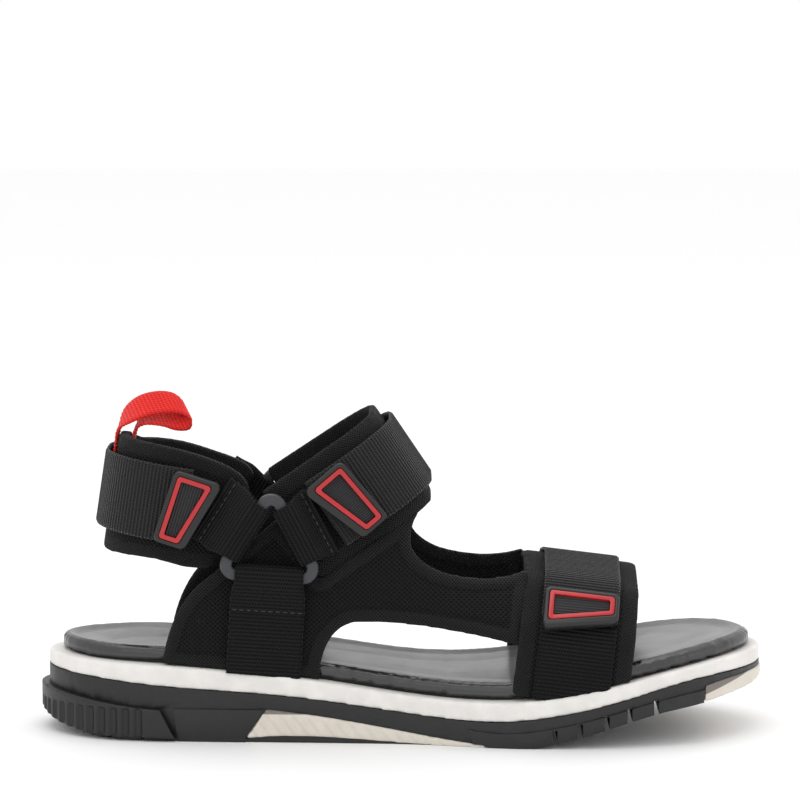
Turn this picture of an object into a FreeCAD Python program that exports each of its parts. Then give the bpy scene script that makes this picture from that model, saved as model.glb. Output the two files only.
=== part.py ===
"""Right-foot strappy sport sandal, as an assembly of separate pieces.

Frame: +X to the toe, +Y to the inner (medial) side, +Z up, millimetres.
The origin is the middle of the sandal's footprint, on the ground.
"""
import FreeCAD, Part
import math
import os
import Sketcher
from FreeCAD import Placement, Rotation, Vector

doc = FreeCAD.newDocument("sport_sandal")

# ---------------------------------------------------------------- driving sizes
SIZES = [
    ("sole_length", 238.0, "midsole, heel to toe"),
    ("heel_width", 64.0, "midsole at the heel"),
    ("waist_outer", 35.3, "centre line to the outer edge at the waist"),
    ("waist_inner", 31.5, "centre line to the inner edge at the waist"),
    ("ball_width", 91.0, "midsole at the ball of the foot"),
    ("heel_height", 25.6, "ground to the top of the midsole under the heel"),
    ("ball_height", 14.8, "ground to the top of the midsole under the ball"),
    ("toe_height", 27.4, "ground to the top of the midsole at the toe"),
    ("midsole_wall", 6.0, "thickness of the white midsole"),
    ("bumper_proud", 2.6, "heel bumper outside the midsole's edge"),
    ("bumper_wall", 5.6, "heel bumper, outer to inner face"),
    ("lug_proud", 0.8, "tread lugs outside the midsole's edge"),
    ("lug_height", 5.0, "tread lugs, ground to top"),
    ("groove_width", 1.6, "gap between two lugs"),
    ("rib_radius", 1.5, "round groove between two bumper ribs"),
    ("footbed_inset", 5.2, "midsole's edge to the footbed's edge"),
    ("board_wall", 1.2, "lasting board under the footbed"),
    ("footbed_wall", 3.6, "footbed above the lasting board"),
    ("arch_rise", 4.0, "footbed's inner edge above its outer edge at the arch"),
    ("fit_gap", 0.3, "clearance between two soft pieces"),
    ("panel_wall", 2.4, "padded side panel"),
    ("band_wall", 2.6, "padded bands over the instep and the toes"),
    ("cover_wall", 0.8, "knit cover over a foam core"),
    ("instep_band_width", 33.0, "padded band over the instep"),
    ("toe_band_width", 36.0, "padded band over the toes"),
    ("webbing_width", 25.0, "strap webbing"),
    ("webbing_wall", 1.3, "strap webbing"),
    ("patch_wall", 0.9, "hook or pile patch"),
    ("patch_width", 21.0, "hook or pile patch"),
    ("patch_play", 0.3, "hooks to pile, closed"),
    ("loop_width", 20.4, "webbing loop that ties a band to a ring"),
    ("collar_height", 39.4, "padded heel collar at the back"),
    ("collar_wall", 4.0, "padded heel collar"),
    ("collar_half", 26.8, "centre line to the collar's outer face"),
    ("collar_reach", 97.6, "origin to the collar's outer face behind the heel"),
    ("collar_level", 79.6, "ground to the collar's middle behind the heel"),
    ("heel_radius", 22.0, "collar's corner behind the heel"),
    ("instep_height", 93.5, "ground to the middle of the instep strap's crown"),
    ("toe_strap_height", 59.0, "ground to the top of the toe band's crown"),
    ("ring_bar", 4.0, "ring's bar, in its own plane"),
    ("ring_wall", 3.2, "ring's bar, through its plane"),
    ("ring_side", 30.0, "ring's side between two corners' centres"),
    ("ring_clear", 0.25, "webbing to the bar it turns round"),
    ("tab_long", 24.6, "moulded tab, across the strap"),
    ("tab_wide", 16.6, "moulded tab at its wide end"),
    ("tab_narrow", 11.0, "moulded tab at its narrow end"),
    ("tab_wall", 3.2, "moulded tab"),
    ("tab_rim", 1.5, "rim round the tab's recess"),
    ("tab_lip", 2.7, "thick lip at the tab's pulled edge"),
    ("recess_depth", 1.2, "recess in the tab's face"),
    ("frame_line", 1.5, "width of the coloured frame's line"),
    ("frame_height", 1.3, "coloured frame above the recess floor"),
    ("inlay_wall", 0.6, "textured inlay inside the frame"),
    ("pull_width", 10.0, "pull loop's webbing"),
    ("pull_wall", 1.1, "pull loop's webbing"),
]

sheet = doc.addObject("Spreadsheet::Sheet", "sizes")
for row, (alias, number, note) in enumerate(SIZES, 1):
    sheet.set(f"A{row}", alias)
    sheet.set(f"B{row}", str(number))
    sheet.setAlias(f"B{row}", alias)
    sheet.set(f"C{row}", note)
doc.recompute()


def size(alias):
    return float(sheet.get(alias))


half_length = size("sole_length") / 2
gap = size("fit_gap")
webbing = size("webbing_wall")
patch = size("patch_wall")
long = half_length / 119.0                  # stretch of the upper with the sole's length
wide = size("ball_width") / 91.0            # and with its width
high = size("instep_height") / 93.5         # and with the instep's height
tall = 60.0          # height of a blank that is cut to its profile
through = 160.0      # length of a cutting block across the whole sandal
parts = []           # every finished sub-part, in order of assembly


def finish(piece, label):
    """Gives a finished sub-part the name of its file."""
    piece.Label = label
    parts.append(piece)
    return piece


# ------------------------------------------------------------ sketches and solids
def along(points):
    """Side view points of the sole, stretched with the sole's length."""
    return [(x * long, z) for x, z in points]


def over(points):
    """Side view points of the upper, stretched with the sandal's length and height."""
    return [(x * long, z * high) for x, z in points]


SIDE_PLANE = Placement(Vector(0, 0, 0), Rotation(Vector(1, 0, 0), 90))


def lean_frame(x, z, angle):
    """Plane of a strap: its own X climbs at this angle above +X, its own Y is +Y."""
    return Placement(Vector(x, 0, z), Rotation(Vector(0, 1, 0), -angle))


def sketch_of(name, geometry, placement, ends_meet=True):
    """A closed sketch from pieces given in order, each starting where the last ends."""
    sketch = doc.addObject("Sketcher::SketchObject", name)
    sketch.Placement = placement
    for piece in geometry:
        sketch.addGeometry(piece, False)
    return sketch


def extrude(name, sketch, length, symmetric=True):
    """Extrusion of a closed sketch along its normal, its length read from the sheet."""
    solid = doc.addObject("Part::Extrusion", name)
    solid.Base = sketch
    solid.DirMode = "Normal"
    solid.Solid = True
    solid.Symmetric = symmetric
    if isinstance(length, str):
        solid.setExpression("LengthFwd", length)
    else:
        solid.LengthFwd = length
    return solid


def cut(name, base, tool):
    solid = doc.addObject("Part::Cut", name)
    solid.Base = base
    solid.Tool = tool
    return solid


def common(name, base, tool):
    solid = doc.addObject("Part::Common", name)
    solid.Base = base
    solid.Tool = tool
    return solid


def fuse(name, shapes):
    solid = doc.addObject("Part::MultiFuse", name)
    solid.Shapes = shapes
    solid.Refine = True
    return solid


def spline(points, tangents=None):
    """Smooth curve through points (u, v) of a sketch, with end directions if given."""
    curve = Part.BSplineCurve()
    vectors = [Vector(u, v, 0) for u, v in points]
    if tangents:
        curve.interpolate(
            Points=vectors,
            InitialTangent=Vector(*tangents[0], 0),
            FinalTangent=Vector(*tangents[1], 0),
        )
    else:
        curve.interpolate(Points=vectors)
    return curve


def line(a, b):
    return Part.LineSegment(Vector(a[0], a[1], 0), Vector(b[0], b[1], 0))


def polygon(points):
    return [line(a, b) for a, b in zip(points, points[1:] + points[:1])]


# -------------------------------------------------------------- routes of straps
class Route:
    """Straight runs joined by tangent arcs, in a strap's plane.

    Outwards, away from the foot, is to the right of the direction of travel.
    """

    def __init__(self, corners=None, pieces=None):
        self.pieces = pieces if pieces is not None else self.rounded(corners)

    @staticmethod
    def rounded(corners):
        """corners: (u, v) or (u, v, radius) in order; the ends have no radius."""
        spots = [Vector(c[0], c[1], 0) for c in corners]
        start = spots[0]
        pieces = []
        for k in range(1, len(corners) - 1):
            into = (spots[k] - spots[k - 1]).normalize()
            out = (spots[k + 1] - spots[k]).normalize()
            turn = math.atan2(into.x * out.y - into.y * out.x, into.dot(out))
            radius = corners[k][2]
            reach = radius * math.tan(abs(turn) / 2)
            first = spots[k] - into * reach
            side = 1 if turn > 0 else -1
            centre = first + Vector(-into.y, into.x, 0) * radius * side
            begin = math.atan2(first.y - centre.y, first.x - centre.x)
            pieces.append(("line", start, first))
            pieces.append(("arc", centre, radius, begin, turn))
            start = spots[k] + out * reach
        pieces.append(("line", start, spots[-1]))
        return [p for p in pieces if p[0] == "arc" or (p[2] - p[1]).Length > 1e-6]

    def shifted(self, outwards):
        """The same route, further from the foot."""
        moved = []
        for p in self.pieces:
            if p[0] == "line":
                along = (p[2] - p[1]).normalize()
                right = Vector(along.y, -along.x, 0) * outwards
                moved.append(("line", p[1] + right, p[2] + right))
            else:
                grow = outwards if p[4] > 0 else -outwards
                moved.append(("arc", p[1], p[2] + grow, p[3], p[4]))
        return Route(pieces=moved)

    def length(self):
        return sum(self.piece_length(p) for p in self.pieces)

    @staticmethod
    def piece_length(p):
        return (p[2] - p[1]).Length if p[0] == "line" else p[2] * abs(p[4])

    def part(self, begin, end):
        """The stretch between two distances from the start."""
        kept, passed = [], 0.0
        for p in self.pieces:
            long = self.piece_length(p)
            a = max(0.0, (begin - passed) / long)
            b = min(1.0, (end - passed) / long)
            passed += long
            if b - a < 1e-6:
                continue
            if p[0] == "line":
                way = p[2] - p[1]
                kept.append(("line", p[1] + way * a, p[1] + way * b))
            else:
                kept.append(("arc", p[1], p[2], p[3] + p[4] * a, p[4] * (b - a)))
        return Route(pieces=kept)

    def curves(self, reverse=False):
        made = []
        for p in self.pieces[::-1] if reverse else self.pieces:
            if p[0] == "line":
                a, b = (p[2], p[1]) if reverse else (p[1], p[2])
                made.append(Part.LineSegment(a, b))
            else:
                circle = Part.Circle(p[1], Vector(0, 0, 1), p[2])
                low, high = sorted((p[3], p[3] + p[4]))
                made.append(Part.ArcOfCircle(circle, low, high))
        return made

    def ends(self):
        def at(p, share):
            if p[0] == "line":
                return p[1] + (p[2] - p[1]) * share
            angle = p[3] + p[4] * share
            return p[1] + Vector(math.cos(angle), math.sin(angle), 0) * p[2]
        return at(self.pieces[0], 0), at(self.pieces[-1], 1)

    def layer(self, inside, outside):
        """Closed outline of a layer between two distances from the route."""
        low, high = self.shifted(inside), self.shifted(outside)
        a, b = low.ends()
        c, d = high.ends()
        return [
            *low.curves(),
            Part.LineSegment(b, d),
            *high.curves(reverse=True),
            Part.LineSegment(c, a),
        ]


def ribbon(label, plane, route, inside, outside, width):
    """A flat band that follows a route, made by extruding its section."""
    section = sketch_of(label + "_section", route.layer(inside, outside), plane)
    return extrude(label + "_band", section, width)


# ----------------------------------------------------------------------- the sole
# Stations round the plan: share of the half length, share of a named half width.
heel_half = size("heel_width") / 2
ball_half = size("ball_width") / 2
outer_waist = size("waist_outer")
inner_waist = size("waist_inner")
PLAN = [
    (-1.0, 0.0), (-0.935, -0.56 * heel_half), (-0.82, -0.86 * heel_half),
    (-0.65, -0.98 * heel_half), (-0.42, -1.04 * heel_half), (-0.15, -outer_waist),
    (0.07, -1.08 * outer_waist), (0.25, -0.955 * ball_half), (0.44, -ball_half),
    (0.63, -0.945 * ball_half), (0.81, -0.74 * ball_half), (0.935, -0.42 * ball_half),
    (1.0, 0.05 * ball_half), (0.955, 0.47 * ball_half), (0.85, 0.755 * ball_half),
    (0.68, 0.945 * ball_half), (0.48, ball_half), (0.28, 0.915 * ball_half),
    (0.08, 1.08 * inner_waist), (-0.13, inner_waist), (-0.40, 0.98 * heel_half),
    (-0.65, 0.97 * heel_half), (-0.82, 0.86 * heel_half), (-0.935, 0.56 * heel_half),
]


def plan_points(outwards):
    """The plan's stations, moved outwards square to the edge."""
    spots = [Vector(x * half_length, y, 0) for x, y in PLAN]
    moved = []
    for k, spot in enumerate(spots):
        along = (spots[(k + 1) % len(spots)] - spots[k - 1]).normalize()
        moved.append(spot + Vector(along.y, -along.x, 0) * outwards)
    return moved


def plan_sketch(name, outwards):
    curve = Part.BSplineCurve()
    curve.interpolate(Points=plan_points(outwards), PeriodicFlag=True)
    return sketch_of(name, [curve], Placement())


def plan_blank(name, outwards):
    """Upright blank with the sole's plan, to be cut to a side profile."""
    return extrude(name, plan_sketch(name + "_plan", outwards), tall, symmetric=False)


# Side profile of the midsole: share of the half length, height above the ground.
heel_top, ball_top, toe_top = (size(n) for n in ("heel_height", "ball_height", "toe_height"))
TOP = [
    (-1.05, heel_top + 1.0), (-0.82, heel_top), (-0.66, heel_top - 0.7),
    (-0.5, heel_top - 2.0), (-0.32, heel_top - 3.9), (-0.12, ball_top + 3.5),
    (0.07, ball_top + 0.6), (0.25, ball_top), (0.38, ball_top + 1.1),
    (0.5, ball_top + 3.4), (0.65, toe_top - 5.2), (0.78, toe_top - 2.3),
    (0.9, toe_top - 0.5), (1.05, toe_top),
]


def top_points(rise):
    return [(x * half_length, z + rise) for x, z in TOP]


def height_at(points, x):
    """Height of a profile at x, by straight lines between its stations."""
    for (xa, za), (xb, zb) in zip(points, points[1:]):
        if xa <= x <= xb:
            return za + (zb - za) * (x - xa) / (xb - xa)
    raise ValueError(f"x {x} is outside the profile")


def midsole_top(x):
    return height_at(top_points(0.0), x)


wall = size("midsole_wall")
BOTTOM = [
    (x, z - wall * share)
    for (x, z), share in zip(
        TOP, (0.9, 0.98, 1.17, 1.15, 1.1, 1.02, 1.03, 1.08, 1.02, 0.97, 0.88, 0.76, 0.83, 0.92)
    )
]
bottom_points = [(x * half_length, z) for x, z in BOTTOM]

# Ground line: rolled heel, flat from heel to ball, toe spring.
HEEL_ROLL = [(-1.03, 10.5), (-0.97, 4.6), (-0.89, 1.5), (-0.78, 0.2), (-0.71, 0.0)]
TOE_SPRING = [
    (0.31, 0.0), (0.41, 1.7), (0.48, 3.7), (0.555, 6.2), (0.62, 8.5),
    (0.7, 10.9), (0.82, 13.0), (0.93, 15.2), (1.03, 21.0),
]


def ground_curves(rise=0.0):
    heel = [(x * half_length, z + rise) for x, z in HEEL_ROLL]
    toe = [(x * half_length, z + rise) for x, z in TOE_SPRING]
    return [
        spline(heel, ((0.3, -1), (1, 0))),
        line(heel[-1], toe[0]),
        spline(toe, ((1, 0), (0.6, 1))),
    ]


def profile_block(name, lower, upper_points):
    """Block across the sandal between a lower chain of curves and an upper curve."""
    upper = spline(upper_points)
    low_start = lower[0].StartPoint
    low_end = lower[-1].EndPoint
    up_start = Vector(*upper_points[0], 0)
    up_end = Vector(*upper_points[-1], 0)
    sides = [Part.LineSegment(low_end, up_end), Part.LineSegment(up_start, low_start)]
    sketch = sketch_of(name + "_profile", [*lower, sides[0], upper, sides[1]], SIDE_PLANE)
    return extrude(name, sketch, through)


def block(name, points):
    """Block across the sandal with a straight-sided profile."""
    return extrude(name, sketch_of(name + "_profile", polygon(points), SIDE_PLANE), through)


def make_midsole():
    blank = plan_blank("midsole_blank", 0.0)
    profile = profile_block("midsole_block", [spline(bottom_points)], top_points(0.0))
    finish(common("midsole", blank, profile), "midsole")


ARCH_TOP = along([(-45.5, 11.0), (-37.0, 10.1), (-14.0, 6.7), (8.0, 2.9), (25.5, 0.9)])
ARCH_FOOT = along([(27.5, 0.0), (0.5, 0.4), (-22.0, 1.8), (-37.0, 2.2), (-52.5, 1.2)])


def arch_block(name):
    """Side profile of the pale arch plate."""
    geometry = [
        spline(ARCH_FOOT), line(ARCH_FOOT[-1], ARCH_TOP[0]),
        spline(ARCH_TOP), line(ARCH_TOP[-1], ARCH_FOOT[0]),
    ]
    return extrude(name, sketch_of(name + "_profile", geometry, SIDE_PLANE), through)


TOE_CAP_TOP = [
    (x * long, height_at(bottom_points, min(x * long, half_length)) - below)
    for x, below in ((99.0, 2.6), (105.0, 2.0), (112.0, 1.5), (119.0, 1.2), (124.0, 0.6))
]


def toe_cap_block(name):
    """Side profile of the pale toe cap, reaching below the toe spring."""
    heel_corner, toe_corner = along([(97.5, 5.0), (124.0, 5.0)])
    geometry = [
        line(heel_corner, toe_corner), line(toe_corner, TOE_CAP_TOP[-1]),
        spline(TOE_CAP_TOP[::-1]), line(TOE_CAP_TOP[0], heel_corner),
    ]
    return extrude(name, sketch_of(name + "_profile", geometry, SIDE_PLANE), through)


BUMPER_TOP = along([(-124.0, 15.4), (-112.0, 14.2), (-100.0, 12.6), (-80.5, 10.6)])
BUMPER_FOOT = along([(-124.0, 9.0), (-117.5, 4.8), (-109.0, 2.5), (-98.0, 1.4), (-75.5, 1.0)])


def bumper_block(name):
    """Side profile of the ribbed heel bumper."""
    geometry = [
        spline(BUMPER_FOOT), line(BUMPER_FOOT[-1], BUMPER_TOP[-1]),
        spline(BUMPER_TOP[::-1]), line(BUMPER_TOP[0], BUMPER_FOOT[0]),
    ]
    return extrude(name, sketch_of(name + "_profile", geometry, SIDE_PLANE), through)


def make_outsole():
    """Black rubber base: a band under the midsole, with lugs that stand proud."""
    lug = size("lug_height")
    fore_top = [
        (21.0 * long, lug + 0.8), (0.31 * half_length, lug), (0.41 * half_length, lug + 1.7),
        (0.555 * half_length, lug + 5.6), (0.7 * half_length, lug + 10.0),
        (0.82 * half_length, lug + 12.2), (0.93 * half_length, lug + 14.2),
    ]
    fore_zone = [line((24.0 * long, -5.0), (0.93 * half_length, -5.0))]
    lug_blank = plan_blank("lug_blank", size("lug_proud"))
    fore = common("fore_lugs", lug_blank, profile_block("fore_lug_block", fore_zone, fore_top))
    heel = common("heel_lugs", lug_blank, block(
        "heel_lug_block", along([(-74.0, -5.0), (-55.0, -5.0), (-46.5, 10.8), (-76.0, 10.8)]),
    ))
    blank = fuse("outsole_lugged", [plan_blank("outsole_blank", 0.0), fore, heel])
    whole = common(
        "outsole_whole", blank, profile_block("outsole_block", ground_curves(), bottom_points),
    )
    grooves = []
    depth = lug - 0.6
    breadth = size("groove_width")
    for number, station in enumerate((0.412, 0.482, 0.555, 0.618, 0.692)):
        x = station * half_length
        floor = height_at([(a * half_length, z) for a, z in TOE_SPRING], x)
        corners = [
            (x - breadth / 2, floor - 4.0), (x + breadth / 2, floor - 4.0),
            (x + breadth / 2, floor + depth), (x - breadth / 2, floor + depth),
        ]
        grooves.append(block(f"fore_groove_{number}", corners))
    for number, x in enumerate((-97.0 * long, -86.0 * long)):
        corners = [
            (x - breadth / 2, -2.0), (x + breadth / 2, -2.0),
            (x + breadth / 2, depth * 0.6), (x - breadth / 2, depth * 0.6),
        ]
        grooves.append(block(f"heel_groove_{number}", corners))
    tools = fuse("outsole_tools", [
        bumper_blank("bumper_seat", 0.0), arch_block("arch_seat"),
        toe_cap_block("toe_cap_seat"), *grooves,
    ])
    finish(cut("outsole", whole, tools), "outsole")


def bumper_blank(name, ease):
    """C-shaped blank of the heel bumper, round the back of the sole."""
    proud, thick = size("bumper_proud"), size("bumper_wall")
    ring = cut(
        name + "_ring", plan_blank(name + "_outer", proud),
        plan_blank(name + "_inner", proud - thick),
    )
    return common(name + "_blank", ring, bumper_block(name + "_block"))


def make_bumper():
    """Ribbed bumper: upright round grooves, evenly spaced round the heel."""
    curve = Part.BSplineCurve()
    curve.interpolate(Points=plan_points(size("bumper_proud")), PeriodicFlag=True)
    edge = curve.toShape()
    reach, pitch = 52.0, 4.3
    grooves = []
    count = int(reach / pitch)
    radius = size("rib_radius")
    for number in range(-count, count + 1):
        distance = (number * pitch) % edge.Length
        spot = edge.valueAt(edge.getParameterByLength(distance))
        groove = doc.addObject("Part::Cylinder", f"rib_groove_{number + count}")
        groove.Height = 14.0
        groove.setExpression("Radius", "sizes.rib_radius")
        groove.Placement = Placement(
            Vector(spot.x + math.copysign(0.35 * radius, spot.x), spot.y * 1.01, -3.0), Rotation()
        )
        grooves.append(groove)
    tool = doc.addObject("Part::Compound", "rib_grooves")
    tool.Links = grooves
    finish(cut("bumper", bumper_blank("heel_bumper", 0.0), tool), "heel_bumper")


def make_sole_inserts():
    proud = size("lug_proud")
    arch = common("arch_plate_solid", plan_blank("arch_blank", proud), arch_block("arch_body"))
    finish(arch, "arch_plate")
    toe_profile = profile_block("toe_cap_floor", ground_curves(), [
        (x, z + 40.0) for x, z in bottom_points
    ])
    toe = common("toe_cap_rough", plan_blank("toe_cap_blank", 0.5), toe_cap_block("toe_cap_body"))
    finish(common("toe_cap_solid", toe, toe_profile), "toe_cap")


def make_footbed():
    """Lasting board, and over it the footbed, which climbs at the inner arch."""
    inset = -size("footbed_inset")
    board_top = size("board_wall")
    board = common(
        "board_solid", plan_blank("board_blank", inset),
        profile_block("board_block", [spline(top_points(0.0))], top_points(board_top)),
    )
    finish(board, "lasting_board")
    rise = board_top + size("footbed_wall")
    flat = common(
        "footbed_flat", plan_blank("footbed_blank", inset),
        profile_block("footbed_block", [spline(top_points(board_top))], top_points(rise)),
    )
    finish(flat, "footbed")


# ------------------------------------------------------------------ the side panels
# Sections of the wall at stations along the sandal: x, then (height, distance out).
OUTER_SECTIONS = [
    (-84.0, ((18, 28.8), (45, 29.2), (70, 29.9), (96, 29.4))),
    (-60.0, ((17, 30.9), (45, 30.7), (70, 29.9), (96, 28.4))),
    (-30.0, ((15, 32.0), (42, 31.4), (66, 29.0), (92, 24.5))),
    (-5.0, ((12, 33.8), (40, 33.0), (62, 29.4), (88, 20.0))),
    (8.0, ((10, 36.0), (38, 34.8), (56, 30.0), (80, 14.0))),
    (25.0, ((9, 40.0), (34, 38.8), (48, 33.0), (66, 14.0))),
    (42.0, ((9, 42.8), (33, 42.0), (46, 35.6), (62, 16.0))),
]
INNER_SECTIONS = [
    (-84.0, ((18, 28.2), (45, 28.8), (70, 29.9), (96, 29.4))),
    (-60.0, ((17, 28.9), (45, 29.8), (70, 29.9), (96, 28.4))),
    (-30.0, ((15, 28.6), (42, 29.0), (66, 28.6), (92, 24.5))),
    (-5.0, ((12, 29.4), (40, 30.4), (62, 28.6), (88, 20.0))),
    (8.0, ((10, 31.8), (38, 32.4), (56, 29.0), (80, 14.0))),
    (25.0, ((9, 38.2), (34, 37.6), (48, 32.6), (66, 14.0))),
    (42.0, ((9, 42.4), (33, 42.0), (46, 35.6), (62, 16.0))),
]


def wall_shape(sections, side):
    """Padded wall lofted through its sections; side is -1 outer, +1 inner."""
    wires = []
    thick = size("panel_wall")
    for station, heights in sections:
        x = station * long
        points = [(z * high, out * wide) for z, out in heights]
        outside = [Vector(x, side * out, z) for z, out in points]
        inside = []
        for k, (z, out) in enumerate(points):
            before, after = points[max(k - 1, 0)], points[min(k + 1, len(points) - 1)]
            slope = Vector(0, after[1] - before[1], after[0] - before[0]).normalize()
            inside.append(Vector(x, side * (out - slope.z * thick), z + slope.y * thick))
        outer_curve, inner_curve = Part.BSplineCurve(), Part.BSplineCurve()
        outer_curve.interpolate(outside)
        inner_curve.interpolate(inside[::-1])
        wires.append(Part.Wire([
            outer_curve.toShape(), Part.LineSegment(outside[-1], inside[-1]).toShape(),
            inner_curve.toShape(), Part.LineSegment(inside[0], outside[0]).toShape(),
        ]))
    return Part.makeLoft(wires, True, False)


INSTEP_X, INSTEP_Z, INSTEP_LEAN = 1.2 * long, size("instep_height"), 34.0
TOE_X, TOE_LEAN = 52.0 * long, 83.0
HEEL_LEAN = -8.5
instep_plane = lean_frame(INSTEP_X, INSTEP_Z, INSTEP_LEAN)
toe_plane = lean_frame(TOE_X, 0.0, TOE_LEAN)

# The collar's plane starts 38 mm in front of the collar's back.
COLLAR_BACK = -38.0 * long
heel_plane = lean_frame(
    -size("collar_reach") * long - COLLAR_BACK * math.cos(math.radians(HEEL_LEAN)),
    size("collar_level") * high - COLLAR_BACK * math.sin(math.radians(HEEL_LEAN)), HEEL_LEAN,
)
heel_strap_plane = lean_frame(heel_plane.Base.x, heel_plane.Base.z + 1.8, HEEL_LEAN)


def on_plane(plane, forward, across):
    """Side view point (x, z) from a place along and across a strap's plane."""
    spot = plane.multVec(Vector(forward, 0, across))
    return (spot.x, spot.z)


def on_instep(climb, across):
    return on_plane(instep_plane, climb, across)


BAND_END = -46.0 * long    # along the strap, from the crown to the padded band's end


def sole_sill(name):
    """Block that fills everything under the midsole's top, with a little clearance."""
    return profile_block(
        name, [line((-0.98 * half_length, -5.0), (0.98 * half_length, -5.0))],
        [(-0.98 * half_length, midsole_top(-0.98 * half_length) + gap)]
        + [(x, z) for x, z in top_points(gap) if abs(x) < 0.9 * half_length]
        + [(0.98 * half_length, midsole_top(0.98 * half_length) + gap)],
    )


def panel_outline():
    """Side view of a panel: rear edge, seat of the instep band, throat, toe band's seam."""
    half = size("instep_band_width") / 2 + gap
    seam = TOE_X - size("toe_band_width") / 2 - gap
    lean = math.tan(math.radians(90.0 - TOE_LEAN))
    foot_back = (-79.7 * long, midsole_top(-79.7 * long) + gap)
    sill = [(x, z) for x, z in top_points(gap) if -79.0 * long < x < -28.5 * long]
    rear = [foot_back, *over([(-75.6, 40.4), (-70.2, 49.0), (-64.2, 54.4)])]
    behind_ring = on_instep(BAND_END - 2.5 * gap, half - 9.5)
    notch = on_instep(BAND_END - 2.5 * gap, -half)
    crown = on_instep(-3.5 * long, -half)
    seam_top = (seam + 56.0 * high * lean, 56.0 * high)
    throat = [crown, *over([(2.6, 70.5), (2.4, 63.5), (7.6, 58.0), (19.0, 54.2), (30.0, 53.6)]),
              seam_top]
    seam_foot = (seam + 33.0 * high * lean, 33.0 * high)
    window_top = over([(-15.9, 39.6)])[0]
    window_foot = (-27.9 * long, midsole_top(-27.9 * long) + gap)
    return [
        spline(rear), line(rear[-1], behind_ring), line(behind_ring, notch),
        line(notch, crown), spline(throat), line(throat[-1], seam_foot),
        spline([seam_foot, *over([(29.5, 35.0), (18.0, 37.0), (-2.0, 39.4)]), window_top]),
        spline([window_top, *over([(-22.3, 36.6), (-26.6, 29.5)]), window_foot]),
        spline([window_foot, *sill[::-1], foot_back]),
    ]


def make_panels():
    for side, sections, label in (
        (-1, OUTER_SECTIONS, "outer_panel"), (1, INNER_SECTIONS, "inner_panel"),
    ):
        outline = sketch_of(label + "_outline", panel_outline(), SIDE_PLANE)
        outline_block = extrude(label + "_block", outline, through)
        doc.recompute()
        panel = doc.addObject("Part::Feature", label + "_solid")
        panel.Shape = wall_shape(sections, side).common([outline_block.Shape], 0.001).Solids[0]
        finish(panel, label)


# ----------------------------------------------------- padded bands over the foot
def padded_band(label, plane, route, wall_alias, width_alias):
    """Knit cover closed round a foam core."""
    thick, cover = size(wall_alias), size("cover_wall")
    blank = ribbon(label + "_blank", plane, route, -thick, 0.0, "sizes." + width_alias)
    inner = route.part(cover * 15, route.length() - cover * 15)
    foam = ribbon(
        label + "_core", plane, inner, cover - thick, -cover,
        f"sizes.{width_alias} - 6 * sizes.cover_wall",
    )
    finish(foam, label + "_foam")
    return cut(label + "_cover", blank, foam)


CROWN = -1.9 * long      # instep band's crown, along the strap's plane
SIDE = 30.2 * wide       # instep band's end, out from the centre line
SHOULDER = 25.5 * wide   # where the crown turns down
instep_route = Route([
    (BAND_END, -SIDE), (CROWN, -SHOULDER, 19), (CROWN, SHOULDER, 19), (BAND_END, SIDE),
])

toe_foot = 15.0
toe_crown = size("toe_strap_height") - 2.0
toe_side = 43.0 * wide
toe_shoulder = 29.5 * wide
toe_route = Route([
    (toe_foot, -toe_side), (37.0 * high, -toe_side, 12), (51.4 * high, -toe_shoulder, 16),
    (toe_crown, 3.0, 46), (52.4 * high, toe_shoulder, 16), (37.0 * high, toe_side, 12),
    (toe_foot, toe_side),
])


def make_bands():
    finish(
        padded_band("instep_band", instep_plane, instep_route, "band_wall", "instep_band_width"),
        "instep_band",
    )
    toe = padded_band("toe_band", toe_plane, toe_route, "band_wall", "toe_band_width")
    finish(cut("toe_band_trimmed", toe, sole_sill("toe_band_sill")), "toe_band")


# ------------------------------------------------------------------ the heel collar
collar_half = size("collar_half") * wide
heel_radius = size("heel_radius")
COLLAR_FRONT = 10.0 * long
collar_route = Route([
    (COLLAR_FRONT, collar_half), (COLLAR_BACK, collar_half, heel_radius),
    (COLLAR_BACK, -collar_half, heel_radius), (COLLAR_FRONT, -collar_half),
])


def collar_outline():
    """Side view of the collar in its own plane: (forward, across)."""
    half = size("collar_height") / 2
    low = [(-60.0, -half), (-30.0, -half), (-20.0, -half + 2.6), (-8.0, -half + 3.4),
           (-1.2, -half + 4.0)]
    front = [low[-1], (2.6, -3.0), (7.0, 6.8)]
    nose = [front[-1], (7.6, 9.8), (5.4, 13.4), (0.6, half - 3.6), (-8.6, half - 1.2),
            (-20.0, half + 0.2), (-32.0, half + 0.2), (-60.0, half)]
    low, front, nose = ([(u * long, n) for u, n in chain] for chain in (low, front, nose))
    return [spline(low), spline(front), spline(nose), line(nose[-1], low[0])]


def make_collar():
    thick, cover = size("collar_wall"), size("cover_wall")
    blank = ribbon(
        "collar_blank", heel_plane, collar_route, -thick, 0.0, "sizes.collar_height + 8",
    )
    across = Placement(heel_plane.Base, heel_plane.Rotation.multiply(SIDE_PLANE.Rotation))
    outline = extrude("collar_outline_block", sketch_of(
        "collar_outline", collar_outline(), across), through)
    shaped = common("collar_shaped", blank, outline)
    inner = collar_route.part(17.0, collar_route.length() - 17.0)
    core = ribbon(
        "collar_core", heel_plane, inner, cover - thick, -cover, "sizes.collar_height - 10",
    )
    finish(core, "collar_foam")
    finish(cut("collar_cover", shaped, core), "heel_collar")


# ------------------------------------------------------------- triangular side rings
ring_y = 33.9 * wide       # centre line to the ring's middle plane
RING_APEX, RING_REAR, RING_FRONT = over([(-43.2, 83.6), (-60.9, 56.2), (-27.8, 54.2)])


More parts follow.
